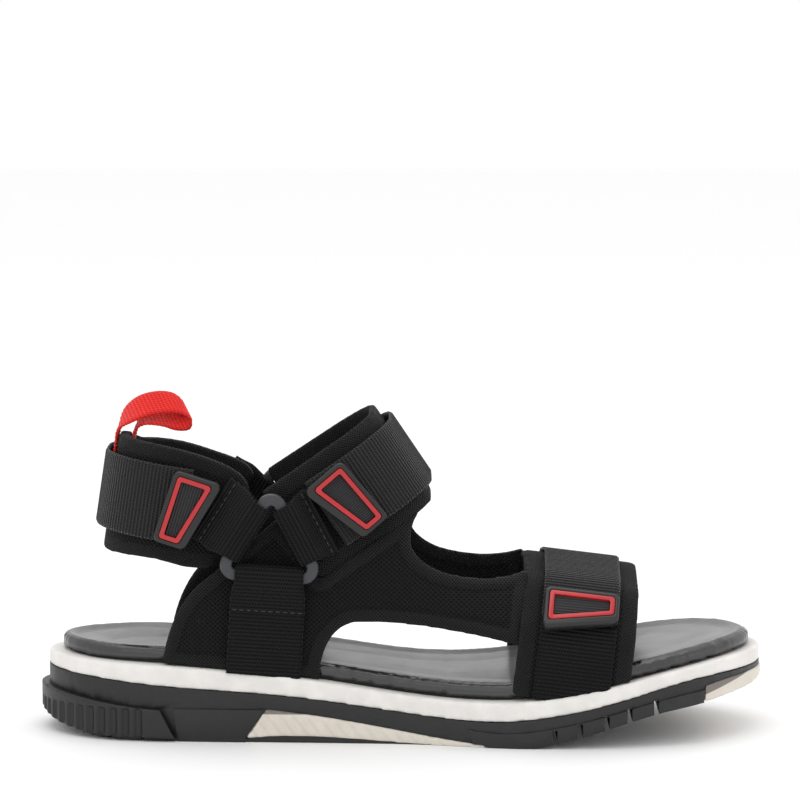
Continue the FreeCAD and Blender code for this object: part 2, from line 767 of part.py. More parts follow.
def make_ring(side, label):
    """Flat triangular ring with round corners, padded up from its own sketch."""
    body = doc.addObject("PartDesign::Body", label + "_body")
    plane = next(f for f in body.Origin.OriginFeatures if f.Role == "XZ_Plane")
    sketch = body.newObject("Sketcher::SketchObject", label + "_sketch")
    sketch.AttachmentSupport = [(plane, "")]
    sketch.MapMode = "FlatFace"
    half = size("ring_bar") / 2
    loop = [RING_APEX, RING_REAR, RING_FRONT]
    mids = [((loop[k][0] + loop[k - 1][0]) / 2, (loop[k][1] + loop[k - 1][1]) / 2)
            for k in range(3)]
    rounded = Route([mids[0], (*loop[0], 3.2), (*loop[1], 3.2), (*loop[2], 3.2), mids[0]])
    for offset in (half, -half):
        for curve in rounded.shifted(offset).curves():
            sketch.addGeometry(curve, False)
    doc.recompute()
    pad = body.newObject("PartDesign::Pad", label + "_pad")
    pad.Profile = sketch
    pad.SideType = "Symmetric"
    pad.setExpression("Length", "sizes.ring_wall")
    doc.recompute()
    fillet = body.newObject("PartDesign::Fillet", label + "_round")
    fillet.Base = (pad, [f"Edge{k + 1}" for k, e in enumerate(pad.Shape.Edges)
                         if abs(e.BoundBox.YLength) < 1e-6])
    fillet.setExpression("Radius", "sizes.ring_wall * 0.3")
    doc.recompute()
    body.Placement = Placement(Vector(0, side * ring_y, 0), Rotation())
    finish(body, label)


def bar_plane(start, end):
    """Plane square to a bar of the ring: own X leaves the bar, own Y is +Y."""
    middle = Vector((start[0] + end[0]) / 2, 0, (start[1] + end[1]) / 2)
    bar = Vector(end[0] - start[0], 0, end[1] - start[1]).normalize()
    away = Vector(-bar.z, 0, bar.x)
    rotation = Rotation(away, Vector(0, 1, 0), away.cross(Vector(0, 1, 0)), "XYZ")
    return Placement(middle, rotation)


turn = size("ring_wall") / 2 + size("ring_clear") + webbing / 2
turn_reach = size("ring_bar") / 2 + size("ring_clear") + webbing / 2


def loop_route(side, inner_end, outer_end, settle, beside=()):
    """Webbing that turns round a bar; each end is (distance from the bar, distance out)."""
    slope_in = (inner_end[1] - settle[1]) / (inner_end[0] - settle[0])
    points = [
        inner_end, (settle[0], settle[1], 4.0), *beside,
        (-turn_reach, ring_y - turn, turn * 0.9), (-turn_reach, ring_y + turn, turn * 0.9),
        (turn_reach, ring_y + turn, 2.0),
        (settle[0] + 1.5, settle[1] + slope_in * 1.5 + webbing + 0.1, 3.0), outer_end,
    ]
    return Route([(p[0], side * p[1], *p[2:]) for p in points])


def make_loops():
    """Webbing loops that tie the collar, the instep band and the sole to the rings."""
    half = webbing / 2
    rear_plane = bar_plane(RING_REAR, RING_APEX)
    front_plane = bar_plane(RING_APEX, RING_FRONT)
    down_plane = bar_plane(RING_FRONT, RING_REAR)
    for side, name, seat in ((-1, "outer", 31.6 * wide), (1, "inner", 30.4 * wide)):
        on_collar = collar_half + gap + half
        route = loop_route(
            side, (13.5, on_collar), (13.5, on_collar + webbing + 0.1), (10.0, on_collar),
        )
        finish(ribbon(f"rear_loop_{name}_strip", rear_plane, route, -half, half,
                      "sizes.loop_width"), f"rear_loop_{name}")
        slope = (SIDE - SHOULDER) / (CROWN - BAND_END)
        on_band = SIDE + gap + half
        route = loop_route(
            side, (9.8, on_band - 9.8 * slope), (9.8, on_band - 9.8 * slope + webbing + 0.1),
            (5.0, on_band - 5.0 * slope),
        )
        finish(ribbon(f"front_loop_{name}_strip", front_plane, route, -half, half,
                      "sizes.loop_width"), f"front_loop_{name}")
        low_seat = {"outer": 31.6, "inner": 29.6}[name] * wide + gap + half
        high_seat = seat + gap + half
        route = loop_route(
            side, (12.4, high_seat), (36.5 * high, low_seat + 0.15), (10.5, high_seat),
            [(turn_reach, ring_y - turn, 3.0)],
        )
        strip = ribbon(f"side_webbing_{name}_strip", down_plane, route, -half, half,
                       "sizes.webbing_width - 2")
        finish(cut(f"side_webbing_{name}_trimmed", strip, sole_sill(f"side_sill_{name}")),
               f"side_webbing_{name}")


# ---------------------------------------------------- closure straps and their tabs
def route_end(route, at_start):
    """Tip of a route and the direction that runs out of it."""
    first, last = route.ends()
    piece = route.pieces[0] if at_start else route.pieces[-1]
    way = (piece[2] - piece[1]).normalize()
    return (first, way * -1) if at_start else (last, way)


def tab_plane(plane, route, at_start, back, rise, twist):
    """Placement of a tab: own X to the strap's tip, own Z outwards."""
    tip, way = route_end(route, at_start)
    travel = way * -1 if at_start else way
    outwards = Vector(travel.y, -travel.x, 0)
    spot = tip - way * back + outwards * rise
    local = Rotation(way, outwards.cross(way), outwards, "ZXY")
    flat = Placement(spot, local)
    turned = Placement(Vector(), Rotation(Vector(0, 0, 1), twist))
    return plane.multiply(flat).multiply(turned)


def tab_corners(inset, lip, flip):
    """Outline of a tab moved inwards; the pulled edge moves by its own amount."""
    long_half = size("tab_long") / 2
    slope = (size("tab_wide") - size("tab_narrow")) / size("tab_long")
    y = long_half - inset

    def pulled(across):
        return size("tab_narrow") + slope * (across + long_half) - lip * math.hypot(1, slope)

    corners = [(inset, -y), (pulled(-y), -y), (pulled(y), y), (inset, y)]
    return [(u, v * flip) for u, v in (corners if flip > 0 else corners[::-1])]


def closed_route(corners, radius):
    """Closed outline with rounded corners."""
    start = ((corners[0][0] + corners[-1][0]) / 2, (corners[0][1] + corners[-1][1]) / 2)
    return Route([start, *[(u, v, radius) for u, v in corners], start])


def body_with_sketch(name, loops):
    """PartDesign body with one sketch on its XY plane."""
    body = doc.addObject("PartDesign::Body", name + "_body")
    return body, add_sketch(body, name + "_sketch", loops)


def add_sketch(body, name, loops, level=0.0):
    plane = next(f for f in body.Origin.OriginFeatures if f.Role == "XY_Plane")
    sketch = body.newObject("Sketcher::SketchObject", name)
    sketch.AttachmentSupport = [(plane, "")]
    sketch.MapMode = "FlatFace"
    sketch.AttachmentOffset = Placement(Vector(0, 0, level), Rotation())
    for loop in loops:
        for curve in loop.curves():
            sketch.addGeometry(curve, False)
    return sketch


def make_tab(label, placement, flip):
    """Moulded tab, the coloured frame in its recess and the inlay inside the frame."""
    body, outline = body_with_sketch(label, [closed_route(tab_corners(0, 0, flip), 2.2)])
    pad = body.newObject("PartDesign::Pad", label + "_pad")
    pad.Profile = outline
    pad.setExpression("Length", "sizes.tab_wall")
    doc.recompute()
    rim, lip = size("tab_rim"), size("tab_lip")
    recess = add_sketch(body, label + "_recess_sketch",
                        [closed_route(tab_corners(rim, lip, flip), 1.2)], size("tab_wall"))
    doc.recompute()
    pocket = body.newObject("PartDesign::Pocket", label + "_recess")
    pocket.Profile = recess
    pocket.setExpression("Length", "sizes.recess_depth")
    doc.recompute()
    if pocket.Shape.Volume > pad.Shape.Volume - 1.0:
        raise RuntimeError(f"{label}: the recess cuts nothing")
    top_edges = [
        f"Edge{k + 1}" for k, e in enumerate(pocket.Shape.Edges)
        if e.BoundBox.ZMin > size("tab_wall") - 0.01
        and e.distToShape(Part.Vertex(size("tab_wide"), flip * size("tab_long") / 2, 3.0))[0] < 30
        and on_outline(e, flip)
    ]
    chamfer = body.newObject("PartDesign::Chamfer", label + "_chamfer")
    chamfer.Base = (pocket, top_edges)
    chamfer.Size = 0.55
    doc.recompute()
    body.Placement = placement
    finish(body, label)

    floor = size("tab_wall") - size("recess_depth")
    line_width, play = size("frame_line"), 0.15
    outer = closed_route(tab_corners(rim + play, lip + play, flip), 1.1)
    hole = closed_route(tab_corners(rim + play + line_width, lip + play + line_width, flip), 0.5)
    frame_body, frame_sketch = body_with_sketch(label + "_frame", [outer, hole])
    frame = frame_body.newObject("PartDesign::Pad", label + "_frame_pad")
    frame.Profile = frame_sketch
    frame.setExpression("Length", "sizes.frame_height")
    doc.recompute()
    frame_body.Placement = placement.multiply(Placement(Vector(0, 0, floor), Rotation()))
    finish(frame_body, label + "_frame")

    edge = rim + play + line_width + 0.1
    filled = closed_route(tab_corners(edge, lip + play + line_width + 0.1, flip), 0.4)
    inlay_body, inlay_sketch = body_with_sketch(label + "_inlay", [filled])
    inlay = inlay_body.newObject("PartDesign::Pad", label + "_inlay_pad")
    inlay.Profile = inlay_sketch
    inlay.setExpression("Length", "sizes.inlay_wall")
    doc.recompute()
    inlay_body.Placement = placement.multiply(Placement(Vector(0, 0, floor), Rotation()))
    finish(inlay_body, label + "_inlay")


def on_outline(edge, flip):
    """Whether an edge of a tab lies on its outer outline."""
    outline = Part.Wire([c.toShape() for c in closed_route(tab_corners(0, 0, flip), 2.2).curves()])
    middle = edge.valueAt((edge.FirstParameter + edge.LastParameter) / 2)
    return outline.distToShape(Part.Vertex(middle.x, middle.y, 0))[0] < 0.01


def make_strap(name, plane, sewn, loose, tip_first, hook_reach):
    """Strap sewn at one end, its loose end apart at the fold, with its hook patch."""
    half, whole = webbing / 2, loose.length()
    if tip_first:
        free = loose.part(0, whole - gap)
        under = loose.part(0.6, hook_reach)
    else:
        free = loose.part(gap, whole)
        under = loose.part(whole - hook_reach, whole - 0.6)
    base = ribbon(f"{name}_base_strip", plane, sewn, -half, half, "sizes.webbing_width")
    finish(ribbon(f"{name}_end_strip", plane, free, -half, half, "sizes.webbing_width"),
           f"{name}_strap_end")
    finish(ribbon(f"{name}_hook_strip", plane, under, -half - patch, -half - 0.04,
                  "sizes.patch_width"), f"{name}_hook_patch")
    first, last = loose.shifted(half).ends()
    spot = plane.multVec(last if tip_first else first)
    axis = plane.Rotation.multVec(Vector(0, 0, 1))
    print(f"hinge {name}: {spot.x:.2f} {spot.y:.2f} {spot.z:.2f}"
          f"  axis {axis.x:.5f} {axis.y:.5f} {axis.z:.5f}")
    return base


# Webbing's middle line above the face that carries it, over both patches.
above = 2 * patch + size("patch_play") + webbing / 2


def make_instep_strap():
    half = webbing / 2
    lifted = instep_route.shifted(above)
    loose = lifted.part(13.2 * long, lifted.length() / 2)
    slope = (SIDE - SHOULDER) / (CROWN - BAND_END)
    foot = -30.0 * long
    sewn = Route([
        (CROWN + above, 0.0), (CROWN + above, SHOULDER + 1.3, 20.5),
        (foot, SIDE - slope * (foot - BAND_END) + 0.1 + half),
    ])
    finish(make_strap("instep", instep_plane, sewn, loose, True, 36.0), "instep_strap_base")
    pile = instep_route.part(13.6 * long, instep_route.length() / 2)
    finish(ribbon("instep_pile_strip", instep_plane, pile, 0.04, patch, "sizes.patch_width"),
           "instep_pile_patch")
    make_tab("instep_tab", tab_plane(instep_plane, loose, True, 15.4, half, 6.0), -1)


def make_toe_strap():
    half = webbing / 2
    lifted = toe_route.shifted(above)
    loose = lifted.part(28.4 * high, lifted.length() * 0.475)
    top = loose.ends()[1]
    sewn = Route([
        (top.x, top.y), (52.4 * high + above * 0.5, toe_shoulder + 1.6, 17),
        (37.4 * high, toe_side + 0.1 + half, 13), (toe_foot, toe_side + 0.1 + half),
    ])
    base = make_strap("toe", toe_plane, sewn, loose, True, 30.0)
    finish(cut("toe_base_trimmed", base, sole_sill("toe_base_sill")), "toe_strap_base")
    pile = toe_route.part(26.6 * high, toe_route.length() * 0.47)
    finish(ribbon("toe_pile_strip", toe_plane, pile, 0.04, patch, "sizes.patch_width"),
           "toe_pile_patch")
    make_tab("toe_tab", tab_plane(toe_plane, loose, True, 9.6, half, 0.0), -1)
    side = toe_route.part(0.0, 25.0 * high)
    strip = ribbon("toe_side_strip", toe_plane, side, 0.1, 0.1 + webbing, "sizes.webbing_width")
    finish(cut("toe_side_trimmed", strip, sole_sill("toe_side_sill")), "toe_side_webbing")


def make_heel_strap():
    half = webbing / 2
    strap = Route([
        (-13.0 * long, collar_half + 0.1 + half),
        (COLLAR_BACK - above, collar_half + 1.3, heel_radius + 1.6),
        (COLLAR_BACK - above, -collar_half - above, heel_radius + above),
        (-11.0 * long, -collar_half - above),
    ])
    whole = strap.length()
    sewn, loose = strap.part(0, whole - 34.0), strap.part(whole - 34.0, whole)
    base = make_strap("heel", heel_strap_plane, sewn, loose, False, 27.0)
    finish(base, "heel_strap_base")
    whole = collar_route.length()
    pile = collar_route.part(whole - 52.0 * long, whole - 21.5 * long)
    finish(ribbon("heel_pile_strip", heel_strap_plane, pile, 0.04, patch, "sizes.patch_width"),
           "heel_pile_patch")
    make_tab("heel_tab", tab_plane(heel_strap_plane, loose, False, 8.0, half, -10.0), 1)


# ---------------------------------------------------------------- the red pull loop
def make_pull_loop():
    """Twisted webbing loop over the collar's top edge: (centre, direction of its width)."""
    back = COLLAR_BACK - 0.15 - size("pull_wall") / 2
    front = COLLAR_BACK + size("collar_wall") + 0.15 + size("pull_wall") / 2
    top = size("collar_height") / 2
    stations = [
        ((back, 0, top - 14.0), (0, 1, 0)), ((back, 0, top - 5.0), (0, 1, 0)),
        ((back + 0.1, 0, top + 0.8), (0, 1, 0)),
        ((back + 2.4, -1.0, top + 5.6), (-0.3, 0.88, 0.36)),
        ((back + 7.2, -2.0, top + 9.6), (-0.44, 0.72, 0.54)),
        ((back + 13.2, -3.0, top + 11.9), (-0.5, 0.62, 0.6)),
        ((back + 18.4, -3.8, top + 12.2), (-0.5, 0.6, 0.62)),
        ((back + 21.4, -4.3, top + 10.4), (-0.5, 0.6, 0.62)),
        ((back + 21.0, -4.3, top + 7.8), (-0.48, 0.62, 0.62)),
        ((back + 17.2, -3.4, top + 6.5), (-0.42, 0.72, 0.54)),
        ((back + 12.6, -2.0, top + 6.4), (-0.3, 0.86, 0.4)),
        ((front + 2.2, -0.8, top + 4.6), (-0.12, 0.97, 0.16)),
        ((front + 0.15, 0, top + 0.6), (0, 1, 0)), ((front, 0, top - 10.0), (0, 1, 0)),
    ]
    centres = [heel_plane.multVec(Vector(*centre)) for centre, _ in stations]
    width_ways = [heel_plane.Rotation.multVec(Vector(*way)).normalize() for _, way in stations]
    thick, broad = size("pull_wall") / 2, size("pull_width") / 2
    rings = []
    for k, (centre, across) in enumerate(zip(centres, width_ways)):
        travel = (centres[min(k + 1, len(centres) - 1)] - centres[max(k - 1, 0)]).normalize()
        face = travel.cross(across).normalize() * thick
        span = across * broad
        rings.append([centre - span - face, centre + span - face, centre + span + face,
                      centre - span + face])
    faces = []
    for near, far in zip(rings, rings[1:]):
        for k in range(4):
            a, b, c, d = near[k], near[(k + 1) % 4], far[(k + 1) % 4], far[k]
            faces.append(Part.Face(Part.makePolygon([a, b, c, a])))
            faces.append(Part.Face(Part.makePolygon([a, c, d, a])))
    for ring in (rings[0], rings[-1]):
        faces.append(Part.Face(Part.makePolygon([*ring, ring[0]])))
    feature = doc.addObject("Part::Feature", "pull_loop_ribbon")
    feature.Shape = Part.Solid(Part.Shell(faces))
    if feature.Shape.Volume < 0:
        feature.Shape = feature.Shape.reversed()
    finish(feature, "pull_loop")


def check_and_write():
    doc.recompute()
    for thing in doc.Objects:
        if "Invalid" in thing.State or "Error" in thing.State:
            raise RuntimeError(f"{thing.Name} ({thing.Label}) is {thing.State}")
    for piece in parts:
        if piece.Shape.isNull() or not piece.Shape.isValid():
            raise RuntimeError(f"{piece.Label} has no valid shape")
    os.makedirs("parts", exist_ok=True)
    for piece in parts:
        piece.Shape.exportStep(f"parts/{piece.Label}.step")
        box = piece.Shape.BoundBox
        print(f"{piece.Label:20s} {piece.Shape.Volume:9.0f} mm3 solids {len(piece.Shape.Solids)}"
              f"  x {box.XMin:.1f}..{box.XMax:.1f}  y {box.YMin:.1f}..{box.YMax:.1f}"
              f"  z {box.ZMin:.1f}..{box.ZMax:.1f}")


make_midsole()
make_outsole()
make_bumper()
make_sole_inserts()
make_footbed()
make_panels()
make_bands()
make_collar()
make_ring(-1, "ring_outer")
make_ring(1, "ring_inner")
make_loops()
make_instep_strap()
make_toe_strap()
make_heel_strap()
make_pull_loop()
check_and_write()
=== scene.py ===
import bmesh
import bpy
import math
import numpy as np
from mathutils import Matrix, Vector
from mathutils.kdtree import KDTree


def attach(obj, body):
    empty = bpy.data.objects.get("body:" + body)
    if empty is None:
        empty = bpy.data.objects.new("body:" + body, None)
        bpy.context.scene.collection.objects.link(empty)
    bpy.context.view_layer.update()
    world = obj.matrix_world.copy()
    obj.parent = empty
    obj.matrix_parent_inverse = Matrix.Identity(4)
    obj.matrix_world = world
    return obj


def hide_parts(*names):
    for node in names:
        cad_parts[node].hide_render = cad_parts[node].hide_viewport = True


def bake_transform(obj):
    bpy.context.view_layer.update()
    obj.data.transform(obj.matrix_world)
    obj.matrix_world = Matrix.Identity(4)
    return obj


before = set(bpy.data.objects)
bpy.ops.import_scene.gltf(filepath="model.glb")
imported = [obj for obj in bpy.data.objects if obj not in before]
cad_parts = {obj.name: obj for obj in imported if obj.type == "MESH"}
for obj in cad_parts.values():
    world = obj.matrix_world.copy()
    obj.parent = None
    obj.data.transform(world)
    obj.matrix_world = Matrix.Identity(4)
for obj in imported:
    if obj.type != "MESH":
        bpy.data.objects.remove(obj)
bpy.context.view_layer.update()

# ------------------------------------------------------------------ the midsole
# One slab of white foam, moulded to shape and left with its thin smooth skin. It
# is glued between the rubber outsole and the footbed, and its side wall shows
# all round the sandal.


class Wire:
    """A shader socket; arithmetic on wires adds Math nodes."""

    def __init__(self, finish, socket):
        self.finish, self.socket = finish, socket

    def of(self, operation, *others):
        return self.finish.node("ShaderNodeMath", {"operation": operation}, self, *others)

    def __add__(self, other):
        return self.of("ADD", other)

    def __sub__(self, other):
        return self.of("SUBTRACT", other)

    def __rsub__(self, other):
        return self.finish.node("ShaderNodeMath", {"operation": "SUBTRACT"}, other, self)

    def __mul__(self, other):
        return self.of("MULTIPLY", other)

    def __truediv__(self, other):
        return self.of("DIVIDE", other)

    def __gt__(self, other):
        return self.of("GREATER_THAN", other)

    def __lt__(self, other):
        return self.of("LESS_THAN", other)

    __radd__ = __add__
    __rmul__ = __mul__

    def wave(self, pitch):
        """0 to 1 and back once every pitch."""
        return (self * (2 * math.pi / pitch)).of("SINE") * 0.5 + 0.5

    def between(self, low, high):
        """0 below low, 1 above high, smooth in between."""
        return self.finish.node(
            "ShaderNodeMapRange", {"interpolation_type": "SMOOTHSTEP"},
            self, low, high, 0.0, 1.0)


class Finish:
    """A material round one Principled shader, whose plain sockets are set by name."""

    def __init__(self, name, **plain):
        self.material = bpy.data.materials.new(name)
        self.material.use_nodes = True
        self.nodes = self.material.node_tree.nodes
        self.surface = self.nodes["Principled BSDF"]
        for socket, value in plain.items():
            self.surface.inputs[socket.replace("_", " ")].default_value = value

    def node(self, kind, settings, *values, out=0):
        """Adds a node: its settings, then values or wires for its first inputs."""
        made = self.nodes.new(kind)
        for key, value in settings.items():
            setattr(made, key, value)
        for socket, value in zip(made.inputs, values):
            self.put(socket, value)
        return Wire(self, made.outputs[out])

    def put(self, socket, value):
        if isinstance(value, Wire):
            self.material.node_tree.links.new(value.socket, socket)
        elif value is not None:
            socket.default_value = value

    def place(self):
        """Millimetres in the sandal's own frame: x, y, z wires and the vector."""
        spot = self.node("ShaderNodeTexCoord", {}, out=3)
        scaled = self.node("ShaderNodeVectorMath", {"operation": "SCALE"}, spot)
        scaled.socket.node.inputs["Scale"].default_value = 1000.0
        parts = [self.node("ShaderNodeSeparateXYZ", {}, scaled, out=k) for k in range(3)]
        return (*parts, scaled)

    def cloth(self):
        """Millimetres along and across the fabric, and from its sewn edge."""
        spot = self.node("ShaderNodeAttribute", {"attribute_name": "cloth"}, out=1)
        return [self.node("ShaderNodeSeparateXYZ", {}, spot, out=k) for k in range(3)]

    def noise(self, where, size, detail=3.0, roughness=0.55):
        """Cloudy noise with lumps of that size in millimetres."""
        return self.node("ShaderNodeTexNoise", {}, where, None, 1.0 / size, detail, roughness)

    def mixed(self, share, low, high):
        """Colour between two colours."""
        made = self.nodes.new("ShaderNodeMix")
        made.data_type = "RGBA"
        self.put(made.inputs[0], share)
        for socket, colour in ((made.inputs[6], low), (made.inputs[7], high)):
            self.put(socket, colour if isinstance(colour, Wire) else (*colour, 1.0))
        return Wire(self, made.outputs[2])

    def show(self, colour, roughness, height=None, relief=0.1):
        """Wires colour, roughness and relief, in millimetres, to the surface."""
        self.put(self.surface.inputs["Base Color"], colour)
        self.put(self.surface.inputs["Roughness"], roughness)
        if height is not None:
            bump = self.nodes.new("ShaderNodeBump")
            bump.inputs["Distance"].default_value = relief * 0.001
            self.put(bump.inputs["Height"], height)
            self.put(self.surface.inputs["Normal"], Wire(self, bump.outputs[0]))
        return self.material


def cad_copy(node, name):
    """Merged copy of a CAD node's outer skin, as an object of its own."""
    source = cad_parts[node].data
    mesh = bpy.data.meshes.new(name)
    mesh.from_pydata([v.co[:] for v in source.vertices], [],
                     [list(p.vertices) for p in source.polygons])
    shape = bmesh.new()
    shape.from_mesh(mesh)
    bmesh.ops.remove_doubles(shape, verts=shape.verts, dist=2e-6)
    waiting, skins = set(shape.verts), []
    while waiting:
        skin, edge = set(), [waiting.pop()]
        while edge:
            vert = edge.pop()
            skin.add(vert)
            near = {e.other_vert(vert) for e in vert.link_edges} & waiting
            waiting -= near
            edge += near
        skins.append(skin)
    outer = max(skins, key=lambda skin: max(v.co.x for v in skin) - min(v.co.x for v in skin))
    bmesh.ops.delete(shape, geom=[v for v in shape.verts if v not in outer], context="VERTS")
    shape.to_mesh(mesh)
    shape.free()
    piece = bpy.data.objects.new(name, mesh)
    bpy.context.scene.collection.objects.link(piece)
    return piece


def settled(piece):
    """Turns a piece's modifiers into plain mesh."""
    bpy.context.view_layer.update()
    graph = bpy.context.evaluated_depsgraph_get()
    mesh = bpy.data.meshes.new_from_object(
        piece.evaluated_get(graph), preserve_all_data_layers=True, depsgraph=graph)
    piece.modifiers.clear()
    piece.data = mesh
    return piece


def remeshed(piece, voxel, rounds=3):
    """Even mesh of that size over the piece, with its edges eased."""
    even = piece.modifiers.new("even", "REMESH")
    even.mode = "VOXEL"
    even.voxel_size = voxel * 0.001
    ease = piece.modifiers.new("ease", "SMOOTH")
    ease.factor = 0.5
    ease.iterations = rounds
    settled(piece)
    piece.data.shade_smooth()
    return piece


def seated(piece, body, slot, material, *nodes):
    """Gives a finished piece its material, its body and the CAD nodes it stands for."""
    piece.data.materials.clear()
    piece.data.materials.append(material)
    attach(piece, body)
    if nodes:
        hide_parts(*nodes)
    return piece


def foam_skin():
    finish = Finish("foam skin", Subsurface_Weight=0.08, Subsurface_Scale=0.002)
    x, y, z, spot = finish.place()
    cloud, grain = finish.noise(spot, 9.0), finish.noise(spot, 0.5)
    return finish.show(
        finish.mixed(cloud.between(0.35, 0.7), (0.74, 0.72, 0.69), (0.81, 0.79, 0.76)),
        0.48 + grain * 0.2, grain + cloud * 0.6, 0.12)


midsole = remeshed(cad_copy("midsole", "midsole_foam"), 0.8, 6)
seated(midsole, "sandal", "white_foam", foam_skin(), "midsole")

# ------------------------------------------------------------------ the outsole
# Black moulded rubber with a satin skin: the tread, the ribbed bumper round the
# heel and the lugs. Two pale rubber inserts are moulded into it, one under the
# arch and one at the toe, each darker along its upper edge: at the toe that is the
# rubber's own darker line, at the arch it is painted shade under the outsole's edge.


def softened(node, name, edge):
    """CAD node as a merged piece whose hard edges are rounded off."""
    piece = cad_copy(node, name)
    shape = bmesh.new()
    shape.from_mesh(piece.data)
    bmesh.ops.dissolve_limit(
        shape, angle_limit=math.radians(1.0), verts=shape.verts, edges=shape.edges)
    shape.to_mesh(piece.data)
    shape.free()
    bevel = piece.modifiers.new("bevel", "BEVEL")
    bevel.width = edge * 0.001
    bevel.segments = 3
    bevel.limit_method = "ANGLE"
    bevel.angle_limit = math.radians(32)
    bevel.miter_outer = "MITER_ARC"
    bevel.harden_normals = True
    settled(piece)
    piece.data.shade_smooth()
    piece.data.set_sharp_from_angle(angle=math.radians(40))
    return piece


def satin_rubber():
    finish = Finish("satin rubber", Specular_IOR_Level=0.45)
    x, y, z, spot = finish.place()
    cloud, grain = finish.noise(spot, 14.0), finish.noise(spot, 0.28, 2.0)
    dust = finish.noise(spot, 2.2).between(0.52, 0.8)
    return finish.show(
        finish.mixed(dust * 0.5 + cloud * 0.3, (0.008, 0.008, 0.009), (0.020, 0.020, 0.022)),
        0.36 + cloud * 0.14 + dust * 0.12, grain + dust * 0.4, 0.05)


def pale_rubber(name, line_foot, line_slope, ribs):
    """Milky rubber with a dark line above line_foot + line_slope * x."""
    finish = Finish(name, Subsurface_Weight=0.15, Subsurface_Scale=0.003,
                    Specular_IOR_Level=0.55)
    x, y, z, spot = finish.place()
    cloud = finish.noise(spot, 6.0)
    grain = finish.noise(spot, 0.4, 2.0)
    above = (z - x * line_slope - line_foot).between(-0.15, 0.25)
    ribbed = (x * 0.8 + z * 0.6).wave(3.4) * ribs
    pale = finish.mixed(cloud, (0.60, 0.54, 0.46), (0.74, 0.70, 0.63))
    dark = finish.mixed(cloud, (0.13, 0.11, 0.10), (0.22, 0.19, 0.17))
    return finish.show(finish.mixed(above, pale, dark), 0.28 + cloud * 0.15,
                       ribbed + grain * 0.12, 0.35)


rubber = satin_rubber()
outsole = softened("outsole", "outsole_rubber", 0.25)
seated(outsole, "sandal", "black_rubber", rubber, "outsole")
bumper = remeshed(cad_copy("heel_bumper", "heel_bumper_rubber"), 0.5, 2)
seated(bumper, "sandal", "black_rubber", rubber, "heel_bumper")
arch = remeshed(cad_copy("arch_plate", "arch_plate_rubber"), 0.6, 5)
# The arch insert's dark band along its top is painted shade under the outsole's edge.
seated(arch, "sandal", "pale_rubber", pale_rubber("arch rubber", 9.4, 0.0, 1.0), "arch_plate")
toe_insert = remeshed(cad_copy("toe_cap", "toe_cap_rubber"), 0.6, 2)
seated(toe_insert, "sandal", "pale_rubber", pale_rubber("toe rubber", -15.8, 0.318, 0.0),
       "toe_cap")

# ------------------------------------------------------------------ the footbed
# A cupped foam insole covered in black grained synthetic leather, on a thin
# pressed board. Its rolled edge is glossy, and the cover creases under the arch.


def rim_distance(piece, on_rim):
    """Millimetres from each vertex to the nearest one that on_rim picks."""
    verts = piece.data.vertices
    rim = [v.co for v in verts if on_rim(v)]
    tree = KDTree(len(rim))
    for k, spot in enumerate(rim):
        tree.insert(spot, k)
    tree.balance()
    return np.array([tree.find(v.co)[2] * 1000 for v in verts])


def spots(piece):
    """The piece's vertices in millimetres."""
    return np.array([v.co for v in piece.data.vertices]) * 1000


def moved(piece, points):
    piece.data.vertices.foreach_set("co", (points * 0.001).ravel())
    piece.data.update()


def lay_cloth(piece, along, across, rim):
    """Stores what the fabric finishes read: along, across and from the sewn edge."""
    cloth = piece.data.attributes.new("cloth", "FLOAT_VECTOR", "POINT")
    cloth.data.foreach_set("vector", np.column_stack([along, across, rim]).ravel())


def puffed(piece, rim, sewn, pressure, reach):
    """Inflates a padded piece as cloth between its sewn edges, no further than reach."""
    start = spots(piece)
    seam = piece.vertex_groups.new(name="seam")
    seam.add([int(k) for k in np.flatnonzero(rim < sewn)], 1.0, "REPLACE")
    fill = piece.modifiers.new("fill", "CLOTH")
    fill.settings.vertex_group_mass = "seam"
    fill.settings.use_pressure = True
    fill.settings.uniform_pressure_force = pressure
    fill.settings.effector_weights.gravity = 0
    for frame_number in range(1, 21):
        bpy.context.scene.frame_set(frame_number)
    settled(piece)
    bpy.context.scene.frame_set(1)
    push = spots(piece) - start
    size = np.linalg.norm(push, axis=1, keepdims=True)
    moved(piece, start + push * np.minimum(1.0, reach / np.maximum(size, 1e-9)))
    return piece


def leather():
    finish = Finish("grained leather", Specular_IOR_Level=0.9)
    x, y, z, spot = finish.place()
    along, across, rim = finish.cloth()
    grain = finish.node("ShaderNodeTexVoronoi", {"feature": "F1"}, spot, None, 1.4)
    pores = finish.noise(spot, 0.35, 2.0)
    stretched = finish.node("ShaderNodeMapping", {}, spot)
    stretched.socket.node.inputs["Scale"].default_value = (0.16, 0.9, 1.0)
    crease = finish.noise(stretched, 2.6, 2.0, 0.4)
    fold = 1 - (crease - 0.5).of("ABSOLUTE").between(0.0, 0.03)
    edge = 1 - rim.between(1.2, 2.6)
    worn = finish.noise(spot, 18.0)
    # The leather's grey base is lighter than its own near-black: part of that grey is painted
    # sheen standing in for the gloss on its top, while the rolled edge keeps the near-black.
    colour = finish.mixed(worn.between(0.3, 0.75), (0.11, 0.109, 0.113), (0.18, 0.178, 0.183))
    return finish.show(
        finish.mixed(edge, colour, (0.006, 0.006, 0.007)),
        0.25 + pores * 0.12 - edge * 0.06,
        grain * 0.35 + pores * 0.3 + fold * -0.8 * (1 - edge), 0.07)


